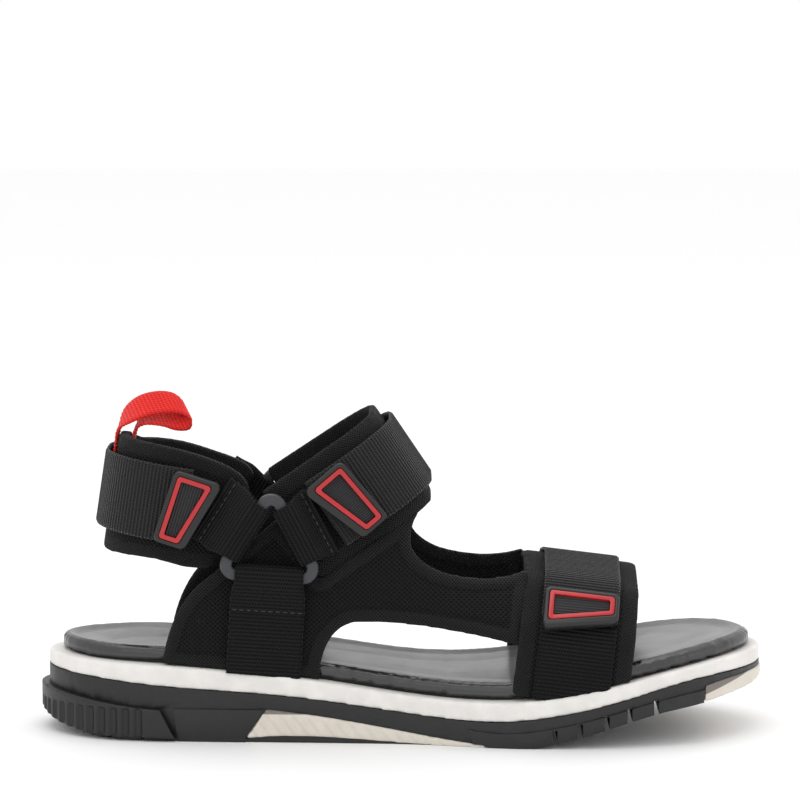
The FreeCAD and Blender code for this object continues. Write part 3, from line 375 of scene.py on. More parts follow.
footbed = remeshed(cad_copy("footbed", "footbed_cover"), 0.9, 12)
footbed_rim = rim_distance(footbed, lambda v: abs(v.normal.z) < 0.6)
footbed = puffed(footbed, footbed_rim, 1.5, 3.0, 0.8)
points = spots(footbed)
upper = np.array([v.normal.z > 0.2 for v in footbed.data.vertices])
rolled = np.exp(-((footbed_rim - 1.6) / 1.5) ** 2) * 0.75
trough = np.exp(-((footbed_rim - 4.6) / 1.6) ** 2) * 0.45
hollow = np.clip(footbed_rim / 16, 0, 1) ** 2 * (1.2 + 0.8 * (points[:, 0] < -40))
points[:, 2] += np.where(upper, rolled - trough - hollow, 0)
# The wall swells out past the board, most at the toe, and its foot rolls down over it.
wall_width, wall_drop, swell, toe_swell = 1.6, 1.1, 0.6, 1.1
facing = np.array([v.normal[:] for v in footbed.data.vertices])
wall_share = np.clip(1 - footbed_rim / wall_width, 0, 1) * (np.abs(facing[:, 2]) < 0.75)
grow = swell + toe_swell * np.clip((points[:, 0] - 55) / 25, 0, 1)
points[:, :2] += facing[:, :2] * (wall_share * grow)[:, None]
points[:, 2] -= np.where(facing[:, 2] < 0.1, wall_share * wall_drop, 0)
moved(footbed, points)
lay_cloth(footbed, points[:, 0], points[:, 1], footbed_rim)
seated(footbed, "sandal", "footbed_skin", leather(), "footbed")

board_finish = Finish("pressed board", Roughness=0.9)
x, y, z, spot = board_finish.place()
fibre = board_finish.noise(spot, 0.8, 4.0)
board_finish.show(board_finish.mixed(fibre, (0.012, 0.012, 0.012), (0.035, 0.034, 0.034)),
                  0.85, fibre, 0.2)
board = softened("lasting_board", "board_edge", 0.2)
board_shrink = (0.988, 0.975, 1.0)
moved(board, spots(board) * board_shrink)
seated(board, "sandal", "board", board_finish.material, "lasting_board")

# ------------------------------------------------------------------ the side panels
# Black spacer mesh over thin padding, one panel each side, glued down between the
# midsole and the footbed. The edges at the heel, the throat and the arch window are
# overlocked with a zigzag thread.


def spacer_mesh():
    """Knit with rows of small round holes; overlocked thread near the sewn edges."""
    finish = Finish("spacer mesh", Sheen_Weight=0.04, Sheen_Roughness=0.4,
                    Specular_IOR_Level=0.12)
    x, y, z, spot = finish.place()
    along, across, rim = finish.cloth()
    column, row = 1.7, 1.5

    def hole(shift):
        u = (along / column + shift).of("FRACT") - 0.5
        v = (across / row + shift).of("FRACT") - 0.5
        return (u * u + v * v).of("SQRT")

    hole_edge = hole(0.0).of("MINIMUM", hole(0.5)).between(0.13, 0.3)
    yarn = (along * 0.86 + across * 0.5).wave(0.42) * (across * 0.86 - along * 0.5).wave(0.42)
    fuzz = finish.noise(spot, 0.5, 4.0)
    seam = 1 - rim.between(3.6, 4.4)
    thread = (along + across).wave(1.1).of("MAXIMUM", (along - across).wave(1.1))
    dull = finish.noise(spot, 12.0)
    # The holes are painted near-black and the knit darker between its yarns: painted shade in the
    # holes and between the yarns.
    knit = finish.mixed(hole_edge * (0.55 + yarn * 0.45), (0.0008, 0.0008, 0.0008),
                        (0.016, 0.016, 0.017))
    bound = finish.mixed(thread.between(0.35, 0.95), (0.003, 0.003, 0.003),
                         (0.020, 0.020, 0.022))
    knit = finish.mixed(dull * 0.35, knit, (0.005, 0.005, 0.005))
    height = (hole_edge * 0.8 + yarn * 0.2 + fuzz * 0.25) * (1 - seam) + thread * seam
    return finish.show(finish.mixed(seam, knit, bound), 0.62 + fuzz * 0.25, height, 0.7)


knit = spacer_mesh()
for side in ("outer", "inner"):
    panel = remeshed(cad_copy(side + "_panel", side + "_panel_padding"), 0.8, 4)
    rim = rim_distance(panel, lambda v: abs(v.normal.y) < 0.45)
    panel = puffed(panel, rim, 2.6, 6.0, 0.9)
    points = spots(panel)
    facing = np.array([v.normal[:] for v in panel.data.vertices])
    # A raised binding along the edge, and the groove where it is sewn down.
    binding = 0.45 * np.exp(-((rim - 2.2) / 1.4) ** 2) - 0.35 * np.exp(-((rim - 4.7) / 0.7) ** 2)
    moved(panel, points + facing * binding[:, None])
    lay_cloth(panel, points[:, 0], points[:, 2], rim)
    seated(panel, "sandal", "mesh", knit, side + "_panel")

# ------------------------------------------------------------------ the padded bands
# A foam core in the same spacer mesh crosses the instep and another crosses the
# toes. The straps lie on them. Both bands are sewn along their long edges.


def leaning(x, z, angle):
    """Plane of a strap's centre line: forward, across and width axes, in millimetres."""
    turn = math.radians(angle)
    return (np.array((x, 0.0, z)), np.array((math.cos(turn), 0.0, math.sin(turn))),
            np.array((0.0, 1.0, 0.0)), np.array((-math.sin(turn), 0.0, math.cos(turn))))


def rounded(corners, step=0.3):
    """Points every step along straight runs joined by arcs; corners are (u, v, radius)."""
    spots_on = [np.array(c[:2], float) for c in corners]
    path = [spots_on[0]]
    for before, here, after, corner in zip(spots_on, spots_on[1:], spots_on[2:], corners[1:]):
        into = (here - before) / np.linalg.norm(here - before)
        out = (after - here) / np.linalg.norm(after - here)
        turn = math.atan2(into[0] * out[1] - into[1] * out[0], into @ out)
        reach = corner[2] * math.tan(abs(turn) / 2)
        left = np.array((-into[1], into[0])) * math.copysign(1, turn)
        centre = here - into * reach + left * corner[2]
        for share in np.linspace(0, 1, max(3, int(corner[2] * abs(turn) / step))):
            angle = turn * share
            spoke = -left * corner[2]
            path.append(centre + np.array((
                spoke[0] * math.cos(angle) - spoke[1] * math.sin(angle),
                spoke[0] * math.sin(angle) + spoke[1] * math.cos(angle))))
    return stretch(np.array([*path, spots_on[-1]]), step=step)


def stretch(path, start=0.0, end=None, step=0.3):
    """The part of a path between two lengths, with a point every step."""
    lengths = np.concatenate([[0], np.cumsum(np.linalg.norm(np.diff(path, axis=0), axis=1))])
    end = lengths[-1] if end is None else end
    at = np.linspace(start, end, max(2, int(round((end - start) / step)) + 1))
    return np.column_stack([np.interp(at, lengths, path[:, k]) for k in range(path.shape[1])])


def path_length(path):
    return float(np.linalg.norm(np.diff(path, axis=0), axis=1).sum())


def outward(path):
    """Unit direction away from the foot at each point of a plane's path."""
    travel = np.gradient(path, axis=0)
    travel /= np.linalg.norm(travel, axis=1, keepdims=True)
    return np.column_stack([travel[:, 1], -travel[:, 0]])


def lifted(path, height):
    return path + outward(path) * height


def on_route(points, plane, path):
    """Distance along a route and across its plane, for points in the sandal's frame."""
    base, forward, across, width = plane
    flat = np.column_stack([(points - base) @ forward, (points - base) @ across])
    tree = KDTree(len(path))
    for k, spot in enumerate(path):
        tree.insert((*spot, 0), k)
    tree.balance()
    lengths = np.concatenate([[0], np.cumsum(np.linalg.norm(np.diff(path, axis=0), axis=1))])
    travel = np.gradient(path, axis=0)
    travel /= np.linalg.norm(travel, axis=1, keepdims=True)
    along = []
    for spot in flat:
        k = tree.find((*spot, 0))[1]
        along.append(lengths[k] + (spot - path[k]) @ travel[k])
    return np.array(along), (points - base) @ width


def padded_piece(name, node, plane, path, body, fill, reach, hem, *stands_for):
    """Puffed copy of a padded CAD band along a route; hem widens its long edges."""
    piece = remeshed(cad_copy(node, name), 0.8, 3)
    width = Vector(plane[3])
    rim = rim_distance(piece, lambda v: abs(v.normal.dot(width)) > 0.6)
    facing = np.array([v.normal.dot(width) for v in piece.data.vertices])
    piece = puffed(piece, rim, 1.6, 6.0, reach)
    points = spots(piece)
    if name.startswith("heel"):
        # The collar's inner side is cut lower, and its foot rises behind the heel.
        inner_side = np.clip((points[:, 1] - 2) / 16, 0, 1)
        height = (points - plane[0]) @ plane[3]
        sink = inner_side * np.clip((height - 6) / 12, 0, 1) * 3.6
        rise = 3.0 * np.clip((-84 - points[:, 0]) / 16, -0.7, 1)
        low_share = np.clip((-6 - height) / 10, 0, 1)
        points += np.outer(low_share * rise - sink, plane[3])
    moved(piece, points + np.outer(facing * np.exp(-(rim / 1.2) ** 2), plane[3]) * hem)
    along, across = on_route(spots(piece), plane, path)
    lay_cloth(piece, along, across, rim)
    seated(piece, body, "mesh", knit, node, *stands_for)
    return piece


instep_plane = leaning(1.2, 93.5, 34.0)
instep_path = rounded([(-46, -30.2), (-1.9, -25.5, 19), (-1.9, 25.5, 19), (-46, 30.2)])
padded_piece("instep_band_padding", "instep_band", instep_plane, instep_path, "sandal",
             0.6, 0.7, 1.2, "instep_band_foam")
toe_plane = leaning(52.0, 0.0, 83.0)
toe_path = rounded([(15, -43), (37, -43, 12), (51.4, -29.5, 16), (57, 3, 46),
                    (52.4, 29.5, 16), (37, 43, 12), (15, 43)])
padded_piece("toe_band_padding", "toe_band", toe_plane, toe_path, "sandal", 0.6, 0.7,
             1.0, "toe_band_foam")

# ------------------------------------------------------------------ the heel collar
# A thicker cuff of the same mesh round the back of the heel, with foam inside. It
# leans back on the webbing that ties it to the side rings.
collar_plane = leaning(-60.02, 73.98, -8.5)
collar_path = rounded([(10, 26.8), (-38, 26.8, 22), (-38, -26.8, 22), (10, -26.8)])
padded_piece("heel_collar_padding", "heel_collar", collar_plane, collar_path, "heel_cuff",
             0.7, 1.1, 0.0, "collar_foam")

# ------------------------------------------------------------------ the side rings
# A dark grey moulded ring each side, a triangle with round corners. The collar, the
# instep band and the sole are tied to its three bars with folded webbing.
ring_finish = Finish("grey moulding", Specular_IOR_Level=0.5)
x, y, z, spot = ring_finish.place()
cloud = ring_finish.noise(spot, 5.0)
scuff = ring_finish.noise(spot, 0.6, 4.0)
ring_finish.show(ring_finish.mixed(cloud, (0.026, 0.027, 0.032), (0.045, 0.046, 0.053)),
                 0.32 + scuff * 0.2, scuff, 0.04)
for side in ("outer", "inner"):
    ring = remeshed(cad_copy("ring_" + side, "ring_" + side + "_moulding"), 0.35, 2)
    seated(ring, "sandal", "grey_plastic", ring_finish.material, "ring_" + side)

# ------------------------------------------------------------------ the tie webbing
# Ribbed black webbing, 25 mm wide and 1.3 mm thick. Each length turns round a bar of
# a ring and is sewn back on itself with one row of stitches.


def woven(name, colour_low, colour_high, pitch, sheen=0.05, gloss=0.12):
    """Webbing: ribs across it, each a row of small beads, and a plain selvedge."""
    finish = Finish(name, Sheen_Weight=sheen, Sheen_Roughness=0.35, Specular_IOR_Level=gloss)
    x, y, z, spot = finish.place()
    along, across, rim = finish.cloth()
    row = (along / pitch).of("FLOOR") * 0.5
    bead = (across + row * 0.9).wave(0.9)
    rib = (along + pitch / 4).wave(pitch)
    fuzz = finish.noise(spot, 0.35, 4.0)
    faded = finish.noise(spot, 16.0)
    selvedge = 1 - rim.between(0.7, 1.3)
    # The webbing is painted lighter on the rib and bead crests and darker between them: painted
    # shade in the gaps of the weave.
    light = (rib * 0.6 + bead * 0.4).between(0.15, 0.85) * (0.7 + faded * 0.5)
    return finish.show(
        finish.mixed(light * (1 - selvedge * 0.35), colour_low, colour_high),
        0.5 + fuzz * 0.3, rib * 0.5 + bead * 0.6 + fuzz * 0.3, 0.34)


def ribbon(name, centre, normal, span, width, wall=1.3, rib=0.09, pitch=1.25):
    """Closed ribbon through centre points, ribbed across both faces, in millimetres."""
    rows = len(centre)
    width = np.broadcast_to(width, rows)
    lengths = np.concatenate([[0], np.cumsum(np.linalg.norm(np.diff(centre, axis=0), axis=1))])
    columns = int(np.max(width) / 0.9)
    share = np.linspace(-1, 1, columns + 1)
    near_edge = np.clip((1 - np.abs(share)) / 0.06, 0, 1)
    body = 0.3 + 0.7 * np.sqrt(1 - (1 - near_edge) ** 2)
    lift = (wall / 2 + rib * np.sin(2 * math.pi * lengths / pitch))[:, None] * body
    flat = centre[:, None] + span[:, None] * (share[None] * width[:, None] / 2)[..., None]
    raised = normal[:, None] * lift[..., None]
    points = np.concatenate([flat + raised, (flat - raised)[:, ::-1]], axis=1)
    ring = points.shape[1]
    faces = [(r * ring + k, r * ring + (k + 1) % ring, (r + 1) * ring + (k + 1) % ring,
              (r + 1) * ring + k) for r in range(rows - 1) for k in range(ring)]
    for first in (0, (rows - 1) * ring):
        faces += [(first + k, first + k + 1, first + ring - 2 - k, first + ring - 1 - k)
                  for k in range(columns)]
    mesh = bpy.data.meshes.new(name)
    mesh.from_pydata((points.reshape(-1, 3) * 0.001).tolist(), [], faces)
    shape = bmesh.new()
    shape.from_mesh(mesh)
    bmesh.ops.recalc_face_normals(shape, faces=shape.faces)
    shape.to_mesh(mesh)
    shape.free()
    mesh.shade_smooth()
    piece = bpy.data.objects.new(name, mesh)
    bpy.context.scene.collection.objects.link(piece)
    across = np.tile(np.concatenate([share, share[::-1]]), (rows, 1)) * width[:, None] / 2
    lay_cloth(piece, np.repeat(lengths, ring), across.ravel(),
              (width[:, None] / 2 - np.abs(across)).ravel())
    return piece


def in_space(plane, path, side=0.0):
    """Points of a plane's path in the sandal's frame, side millimetres across it."""
    base, forward, across, width = plane
    return base + np.outer(path[:, 0], forward) + np.outer(path[:, 1], across) + width * side


def strip(name, plane, path, width, **looks):
    """Flat ribbon that follows a path in its plane."""
    base, forward, across, span = plane
    away = outward(path)
    normal = np.outer(away[:, 0], forward) + np.outer(away[:, 1], across)
    return ribbon(name, in_space(plane, path), normal, np.tile(span, (len(path), 1)), width,
                  **looks)


def stitch_tree():
    """Geometry nodes: threads set end to end along a line."""
    tree = bpy.data.node_groups.new("stitches", "GeometryNodeTree")
    for name, kind in (("Line", "NodeSocketGeometry"), ("Pitch", "NodeSocketFloat"),
                       ("Stitch", "NodeSocketFloat"), ("Thread", "NodeSocketFloat"),
                       ("Material", "NodeSocketMaterial")):
        tree.interface.new_socket(name, in_out="INPUT", socket_type=kind)
    tree.interface.new_socket("Stitches", in_out="OUTPUT", socket_type="NodeSocketGeometry")
    made = {key: tree.nodes.new(kind) for key, kind in (
        ("given", "NodeGroupInput"), ("curve", "GeometryNodeMeshToCurve"),
        ("even", "GeometryNodeResampleCurve"), ("seed", "GeometryNodeMeshUVSphere"),
        ("size", "ShaderNodeCombineXYZ"), ("long", "GeometryNodeTransform"),
        ("way", "GeometryNodeInputTangent"), ("turn", "FunctionNodeAlignRotationToVector"),
        ("place", "GeometryNodeInstanceOnPoints"), ("real", "GeometryNodeRealizeInstances"),
        ("paint", "GeometryNodeSetMaterial"), ("result", "NodeGroupOutput"))}
    made["even"].mode = "LENGTH"
    made["turn"].axis = "X"
    made["seed"].inputs["Segments"].default_value = 8
    made["seed"].inputs["Rings"].default_value = 5
    made["seed"].inputs["Radius"].default_value = 1.0
    for output, into in (
        (("given", "Line"), ("curve", "Mesh")), (("curve", "Curve"), ("even", "Curve")),
        (("given", "Pitch"), ("even", "Length")), (("even", "Curve"), ("place", "Points")),
        (("given", "Stitch"), ("size", "X")), (("given", "Thread"), ("size", "Y")),
        (("given", "Thread"), ("size", "Z")), (("seed", "Mesh"), ("long", "Geometry")),
        (("size", "Vector"), ("long", "Scale")), (("long", "Geometry"), ("place", "Instance")),
        (("way", "Tangent"), ("turn", "Vector")), (("turn", "Rotation"), ("place", "Rotation")),
        (("place", "Instances"), ("real", "Geometry")),
        (("real", "Geometry"), ("paint", "Geometry")),
        (("given", "Material"), ("paint", "Material")),
        (("paint", "Geometry"), ("result", "Stitches")),
    ):
        tree.links.new(made[output[0]].outputs[output[1]], made[into[0]].inputs[into[1]])
    return tree


stitches = stitch_tree()
thread_finish = Finish("sewing thread", Sheen_Weight=0.1, Specular_IOR_Level=0.4)
x, y, z, spot = thread_finish.place()
ply = thread_finish.noise(spot, 0.3, 2.0)
thread_finish.show(thread_finish.mixed(ply, (0.010, 0.010, 0.011), (0.030, 0.030, 0.032)),
                   0.5 + ply * 0.2, ply, 0.05)


def sewn(name, rows, body, slot="webbing", pitch=2.3, stitch=0.95, thread=0.24):
    """Rows of stitches along polylines in millimetres."""
    points = [point for row in rows for point in row]
    edges, first = [], 0
    for row in rows:
        edges += [(first + k, first + k + 1) for k in range(len(row) - 1)]
        first += len(row)
    mesh = bpy.data.meshes.new(name)
    mesh.from_pydata([tuple(np.array(p) * 0.001) for p in points], edges, [])
    piece = bpy.data.objects.new(name, mesh)
    bpy.context.scene.collection.objects.link(piece)
    maker = piece.modifiers.new("stitches", "NODES")
    maker.node_group = stitches
    inputs = {s.name: s.identifier for s in stitches.interface.items_tree
              if s.in_out == "INPUT"}
    for key, value in (("Pitch", pitch * 0.001), ("Stitch", stitch * 0.001),
                       ("Thread", thread * 0.001), ("Material", thread_finish.material)):
        maker[inputs[key]] = value
    settled(piece)
    piece.data.shade_smooth()
    return seated(piece, body, slot, thread_finish.material)


def bar_plane(start, end):
    """Plane square to a bar of the ring; forward leaves the bar."""
    bar = np.array((end[0] - start[0], 0.0, end[1] - start[1]))
    bar /= np.linalg.norm(bar)
    away = np.array((-bar[2], 0.0, bar[0]))
    middle = np.array(((start[0] + end[0]) / 2, 0.0, (start[1] + end[1]) / 2))
    return middle, away, np.array((0.0, 1.0, 0.0)), np.cross(away, (0, 1, 0))


ring_y, turn, turn_reach, fold_gap = 33.9, 2.5, 2.9, 1.4


def tie_path(side, tail, leg, settle, beside=()):
    """Centre line of webbing round a bar: (distance from the bar, distance out)."""
    slope = (tail[1] - settle[1]) / (tail[0] - settle[0])
    corners = [
        tail, (*settle, 4.0), *beside, (-turn_reach, ring_y - turn, turn * 0.9),
        (-turn_reach, ring_y + turn, turn * 0.9), (turn_reach, ring_y + turn, 2.0),
        (settle[0] + 1.5, settle[1] + slope * 1.5 + fold_gap, 3.0), leg]
    return rounded([(c[0], side * c[1], *c[2:]) for c in corners], 0.25)


def tie_width(path, narrow, full):
    """Webbing bunches up in the ring and spreads out below it."""
    away = np.clip((path[:, 0] - 1.0) / 7.0, 0, 1)
    return narrow + (full - narrow) * away * away * (3 - 2 * away)


def tucked(piece, inside=0.5):
    """Ends a piece just inside the seam on top of the midsole."""
    points = spots(piece)
    for point in points:
        hit, spot = midsole.ray_cast((point[0] * 0.001, 0.0, 0.08), (0, 0, -1))[:2]
        point[2] = max(point[2], spot.z * 1000 - inside) if hit else point[2]
    moved(piece, points)
    return piece


black_webbing = woven("black webbing", (0.002, 0.002, 0.002), (0.013, 0.013, 0.014), 1.25)
apex, rear, front = (-43.2, 83.6), (-60.9, 56.2), (-27.8, 54.2)
rear_bar, front_bar = bar_plane(rear, apex), bar_plane(apex, front)
low_bar = bar_plane(front, rear)
slope = (30.2 - 25.5) / (46 - 1.9)
for side, name in ((-1, "outer"), (1, "inner")):
    collar_tie = tie_path(side, (13.5, 27.75), (13.5, 29.15), (10.0, 27.75))
    band_tie = tie_path(side, (9.8, 31.15 - 9.8 * slope), (9.8, 32.55 - 9.8 * slope),
                        (5.0, 31.15 - 5 * slope))
    high, low = {"outer": (32.55, 32.7), "inner": (31.35, 30.7)}[name]
    sole_tie = tie_path(side, (12.4, high), (36.5, low), (10.5, high), [(turn_reach, 31.4, 3.0)])
    for plane, path, node, narrow, full, row_at in (
        (rear_bar, collar_tie, "rear_loop_", 20.4, 23.5, 10.6),
        (front_bar, band_tie, "front_loop_", 20.4, 23.5, 7.6),
        (low_bar, sole_tie, "side_webbing_", 22.6, 24.6, 11.4),
    ):
        tie = strip(node + name + "_tie", plane, path, tie_width(path, narrow, full))
        if node == "side_webbing_":
            tucked(tie)
        seated(tie, "sandal", "webbing", black_webbing, node + name)
        leg = path[len(path) // 2:]
        k = int(np.argmin(np.abs(leg[:, 0] - row_at)))
        face = leg[k] + outward(leg)[k] * 0.72
        half = full / 2 - 1.6
        row = [in_space(plane, face[None], w)[0] for w in np.linspace(-half, half, 9)]
        sewn(node + name + "_stitches", [row], "sandal")

# ------------------------------------------------------------------ the straps
# Three lengths of the same webbing close the sandal with hook and pile: over the toes,
# over the instep and round the heel. One end is sewn down, and the loose end peels up
# from the fold. A hook patch is sewn under the loose end, and a pile patch on the band.
patch, lift = 0.9, 2.75
# A lighter copy of the black webbing for the straps: its lighter colour is painted light for the
# strap crowns that face up into the lamps.
strap_webbing_painted_light = woven("strap webbing", (0.0015, 0.0015, 0.0015), (0.022, 0.022, 0.024), 1.25,
                      0.20, 0.25)


def napped(name, colour_low, colour_high, tuft):
    """Hook or pile fabric: a dense nap of short loops."""
    finish = Finish(name, Sheen_Weight=0.06, Sheen_Roughness=0.6, Specular_IOR_Level=0.1)
    x, y, z, spot = finish.place()
    along, across, rim = finish.cloth()
    nap = finish.noise(spot, tuft, 6.0, 0.7)
    grid = along.wave(1.2) * across.wave(1.2)
    return finish.show(finish.mixed(nap.between(0.3, 0.75), colour_low, colour_high),
                       0.8 + nap * 0.15, nap + grid * 0.4, 0.5)


hook_fabric = napped("hook fabric", (0.003, 0.003, 0.003), (0.018, 0.018, 0.019), 0.45)
pile_fabric = napped("pile fabric", (0.002, 0.002, 0.002), (0.012, 0.012, 0.013), 0.7)


def closure(name, parent, body, plane, sewn_path, loose_path, patch_part, pile_path):
    """Strap, hook patch and pile patch."""
    strap = strip(name + "_strap", plane, np.concatenate([sewn_path, loose_path]), 25.0)
    if name == "toe":
        tucked(strap)
    strap.data.materials.append(strap_webbing_painted_light)
    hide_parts(name + "_strap_base", name + "_strap_end")
    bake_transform(strap)
    hook = strip(name + "_hook", plane, lifted(patch_part, -0.65 - patch / 2 - 0.03), 21.0,
                 wall=patch, rib=0.0)
    seated(hook, body, "hook_and_pile", hook_fabric, name + "_hook_patch")
    pile = strip(name + "_pile", plane, lifted(pile_path, patch / 2 + 0.05), 21.0,
                 wall=patch, rib=0.0)
    seated(pile, parent, "hook_and_pile", pile_fabric, name + "_pile_patch")
    return strap


raised = lifted(instep_path, lift)
loose = stretch(raised, 13.2, path_length(raised) / 2)
sewn_down = rounded([(-1.9 + lift, 0.0), (-1.9 + lift, 26.8, 20.5),
                     (-30.0, 30.2 - slope * 16 + 0.75)])
closure("instep", "sandal", "instep_strap", instep_plane, sewn_down[::-1][:-1], loose[::-1],
        loose[2:int(36 / 0.3)],
        stretch(instep_path, 13.6, path_length(instep_path) / 2))
raised = lifted(toe_path, lift)
loose = stretch(raised, 28.4, path_length(raised) * 0.475)
sewn_down = rounded([tuple(loose[-1]), (52.4 + lift / 2, 31.1, 17), (37.4, 43.75, 13),
                     (15.0, 43.75)])
closure("toe", "sandal", "toe_strap", toe_plane, sewn_down[::-1][:-1], loose[::-1],
        loose[2:int(30 / 0.3)],
        stretch(toe_path, 26.6, path_length(toe_path) * 0.47))
toe_side = strip("toe_side_strip", toe_plane, lifted(stretch(toe_path, 0.0, 25.0), 0.75), 25.0)
seated(tucked(toe_side), "sandal", "webbing", black_webbing, "toe_side_webbing")

heel_plane = leaning(-60.02, 75.78, -8.5)
around = rounded([(-13.0, 27.55), (-40.75, 28.1, 23.6), (-40.75, -29.55, 24.75), (-11.0, -29.55)])
whole = path_length(around)
loose = stretch(around, whole - 34.0, whole)
closure("heel", "heel_cuff", "heel_strap", heel_plane, stretch(around, 0, whole - 34.0)[:-1],
        loose, loose[-int(27 / 0.3):-2],
        stretch(collar_path, path_length(collar_path) - 52.0, path_length(collar_path) - 21.5))

# ------------------------------------------------------------------ the pull tabs
# A moulded black rubber tab caps each loose end, thick at the edge that is pulled. A
# red frame and a ribbed dark insert are pressed into its recess.


def tab_finish(name, low, high, rough, coat=0.0):
    finish = Finish(name, Coat_Weight=coat, Coat_Roughness=0.12, Specular_IOR_Level=0.5)
    x, y, z, spot = finish.place()
    cloud, grain = finish.noise(spot, 4.0), finish.noise(spot, 0.25, 2.0)
    return finish.show(finish.mixed(cloud, low, high), rough + cloud * 0.12, grain, 0.03)


def insert_finish(name, way, pitch):
    """Ribbed insert; way is the direction across its ribs."""
    finish = Finish(name, Specular_IOR_Level=0.4)
    x, y, z, spot = finish.place()
    across = x * way[0] + z * way[1] + y * way[2]
    rib, grain = across.wave(pitch), finish.noise(spot, 0.3, 3.0)
    # The grooves between the ribs are painted darker: painted shade in the ribbing.
    return finish.show(finish.mixed(rib, (0.006, 0.006, 0.007), (0.026, 0.026, 0.029)),
                       0.5 + grain * 0.2, rib + grain * 0.3, 0.3)


tab_black = tab_finish("tab rubber", (0.004, 0.004, 0.005), (0.009, 0.009, 0.010), 0.34)
frame_red = tab_finish("red trim", (0.40, 0.008, 0.012), (0.50, 0.012, 0.016), 0.28, 0.15)
for strap_name, way, pitch in (
    ("instep", (0.64, -0.77, 0.0), 0.75), ("toe", (0.1, 1.0, 0.0), 0.8),
    ("heel", (0.95, -0.3, 0.0), 0.95),
):
    tab = strap_name + "_tab"
    body = strap_name + "_strap"
    seated(softened(tab, tab + "_rubber", 0.28), body, "tab_rubber", tab_black, tab)
    seated(softened(tab + "_frame", tab + "_trim", 0.3), body, "red_trim", frame_red,
           tab + "_frame")
    seated(softened(tab + "_inlay", tab + "_insert", 0.12), body, "grey_inlay",
           insert_finish(strap_name + " insert", way, pitch), tab + "_inlay")

# ------------------------------------------------------------------ the pull loop
# A short length of red ribbed tape, sewn inside and outside the collar at the back.
# It twists and flops forward.


def flowing(stations, step=0.28):
    """Smooth path through stations, each a row of numbers."""
    rows = np.array(stations, float)
    padded_rows = np.vstack([2 * rows[0] - rows[1], rows, 2 * rows[-1] - rows[-2]])
    fine = []
    for a, b, c, d in zip(padded_rows, padded_rows[1:], padded_rows[2:], padded_rows[3:]):
        count = max(2, int(np.linalg.norm(c[:3] - b[:3]) / step))
        for t in np.linspace(0, 1, count, endpoint=False):
            fine.append(0.5 * (2 * b + (c - a) * t + (2 * a - 5 * b + 4 * c - d) * t * t
                               + (3 * b - a - 3 * c + d) * t ** 3))
    return np.array([*fine, rows[-1]])


back, front_face, top = -38.7, -33.3, 19.7
loop_path = flowing([
    (back, 0, top - 14.0, 0, 1, 0), (back, 0, top - 5.0, 0, 1, 0),
    (back + 0.1, 0, top + 0.8, 0, 1, 0), (back + 2.4, -1.0, top + 5.6, -0.3, 0.88, 0.36),
    (back + 7.2, -2.0, top + 9.6, -0.44, 0.72, 0.54),
    (back + 13.2, -3.0, top + 11.9, -0.5, 0.62, 0.6),
    (back + 18.4, -3.8, top + 12.2, -0.5, 0.6, 0.62),
    (back + 21.4, -4.3, top + 10.4, -0.5, 0.6, 0.62),
    (back + 21.0, -4.3, top + 7.8, -0.48, 0.62, 0.62),
    (back + 17.2, -3.4, top + 6.5, -0.42, 0.72, 0.54),
    (back + 12.6, -2.0, top + 6.4, -0.3, 0.86, 0.4),
    (front_face + 2.2, -0.8, top + 4.6, -0.12, 0.97, 0.16),
    (front_face + 0.15, 0, top + 0.6, 0, 1, 0), (front_face, 0, top - 10.0, 0, 1, 0)])
base, forward, across, upward = collar_plane
to_space = np.array((forward, across, upward))
centre = base + loop_path[:, :3] @ to_space
span = loop_path[:, 3:] @ to_space
span /= np.linalg.norm(span, axis=1, keepdims=True)
travel = np.gradient(centre, axis=0)
normal = np.cross(travel, span)
normal /= np.linalg.norm(normal, axis=1, keepdims=True)
pull_loop = ribbon("pull_loop_tape", centre, normal, span, 10.0, wall=1.1, rib=0.12, pitch=1.3)
seated(pull_loop, "heel_cuff", "red_webbing",
       woven("red tape", (0.62, 0.006, 0.004), (1.0, 0.030, 0.022), 1.3, 0.15, 0.3), "pull_loop")

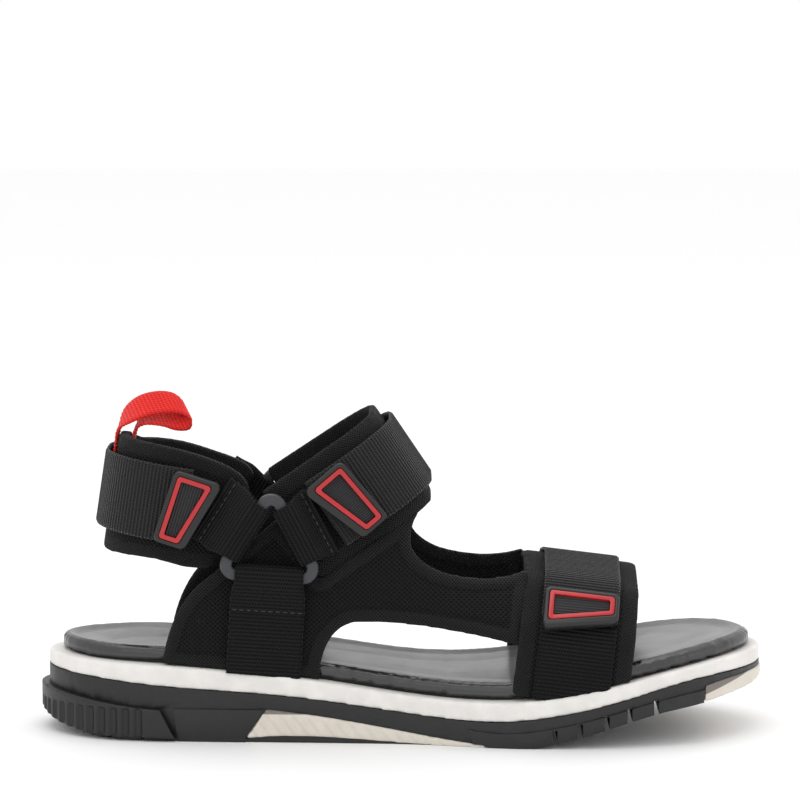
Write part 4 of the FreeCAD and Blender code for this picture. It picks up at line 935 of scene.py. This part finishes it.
# ------------------------------------------------------------------ the set
# A pale seamless floor under an even white surround, with weak soft lights overhead,
# in front and at the side, and the camera at the height of a low table.
floor_half = 3.0
floor_mesh = bpy.data.meshes.new("floor")
floor_mesh.from_pydata([(-floor_half, -floor_half, 0), (floor_half, -floor_half, 0),
                        (floor_half, floor_half, 0), (-floor_half, floor_half, 0)],
                       [], [(0, 1, 2, 3)])
floor = bpy.data.objects.new("floor", floor_mesh)
bpy.context.scene.collection.objects.link(floor)
floor_finish = Finish("floor paint", Roughness=0.6)
floor_finish.surface.inputs["Base Color"].default_value = (0.98, 0.98, 0.98, 1)
floor_mesh.materials.append(floor_finish.material)


def soft_light(name, spot, aim, width, power):
    lamp = bpy.data.lights.new(name, "AREA")
    lamp.shape = "RECTANGLE"
    lamp.size, lamp.size_y = width
    lamp.energy = power
    light = bpy.data.objects.new(name, lamp)
    light.location = spot
    light.rotation_euler = (Vector(aim) - Vector(spot)).to_track_quat("-Z", "Y").to_euler()
    bpy.context.scene.collection.objects.link(light)


soft_light("overhead", (-0.1, 0.05, 1.1), (0, 0, 0), (1.2, 0.9), 3.5)
soft_light("front", (-0.5, -1.3, 0.75), (0, 0, 0.05), (1.0, 0.7), 0.8)
soft_light("side", (1.2, -0.4, 0.5), (0, 0, 0.05), (0.6, 0.6), 0.4)
world = bpy.data.worlds.new("studio")
world.use_nodes = True
world.node_tree.nodes["Background"].inputs["Color"].default_value = (1, 1, 1, 1)
world.node_tree.nodes["Background"].inputs["Strength"].default_value = 1.0
bpy.context.scene.world = world
bpy.context.scene.view_settings.view_transform = "Standard"

camera_gap, camera_rise = 1.5, math.radians(6.5)
aim = Vector((-0.0015, 0.0, 0.1094))
camera = bpy.data.objects.new("camera", bpy.data.cameras.new("camera"))
camera.location = aim + Vector((0, -math.cos(camera_rise), math.sin(camera_rise))) * camera_gap
camera.rotation_euler = (aim - camera.location).to_track_quat("-Z", "Y").to_euler()
camera.data.lens = 202.5
camera.data.sensor_width = 36.0
bpy.context.scene.collection.objects.link(camera)
bpy.context.scene.camera = camera
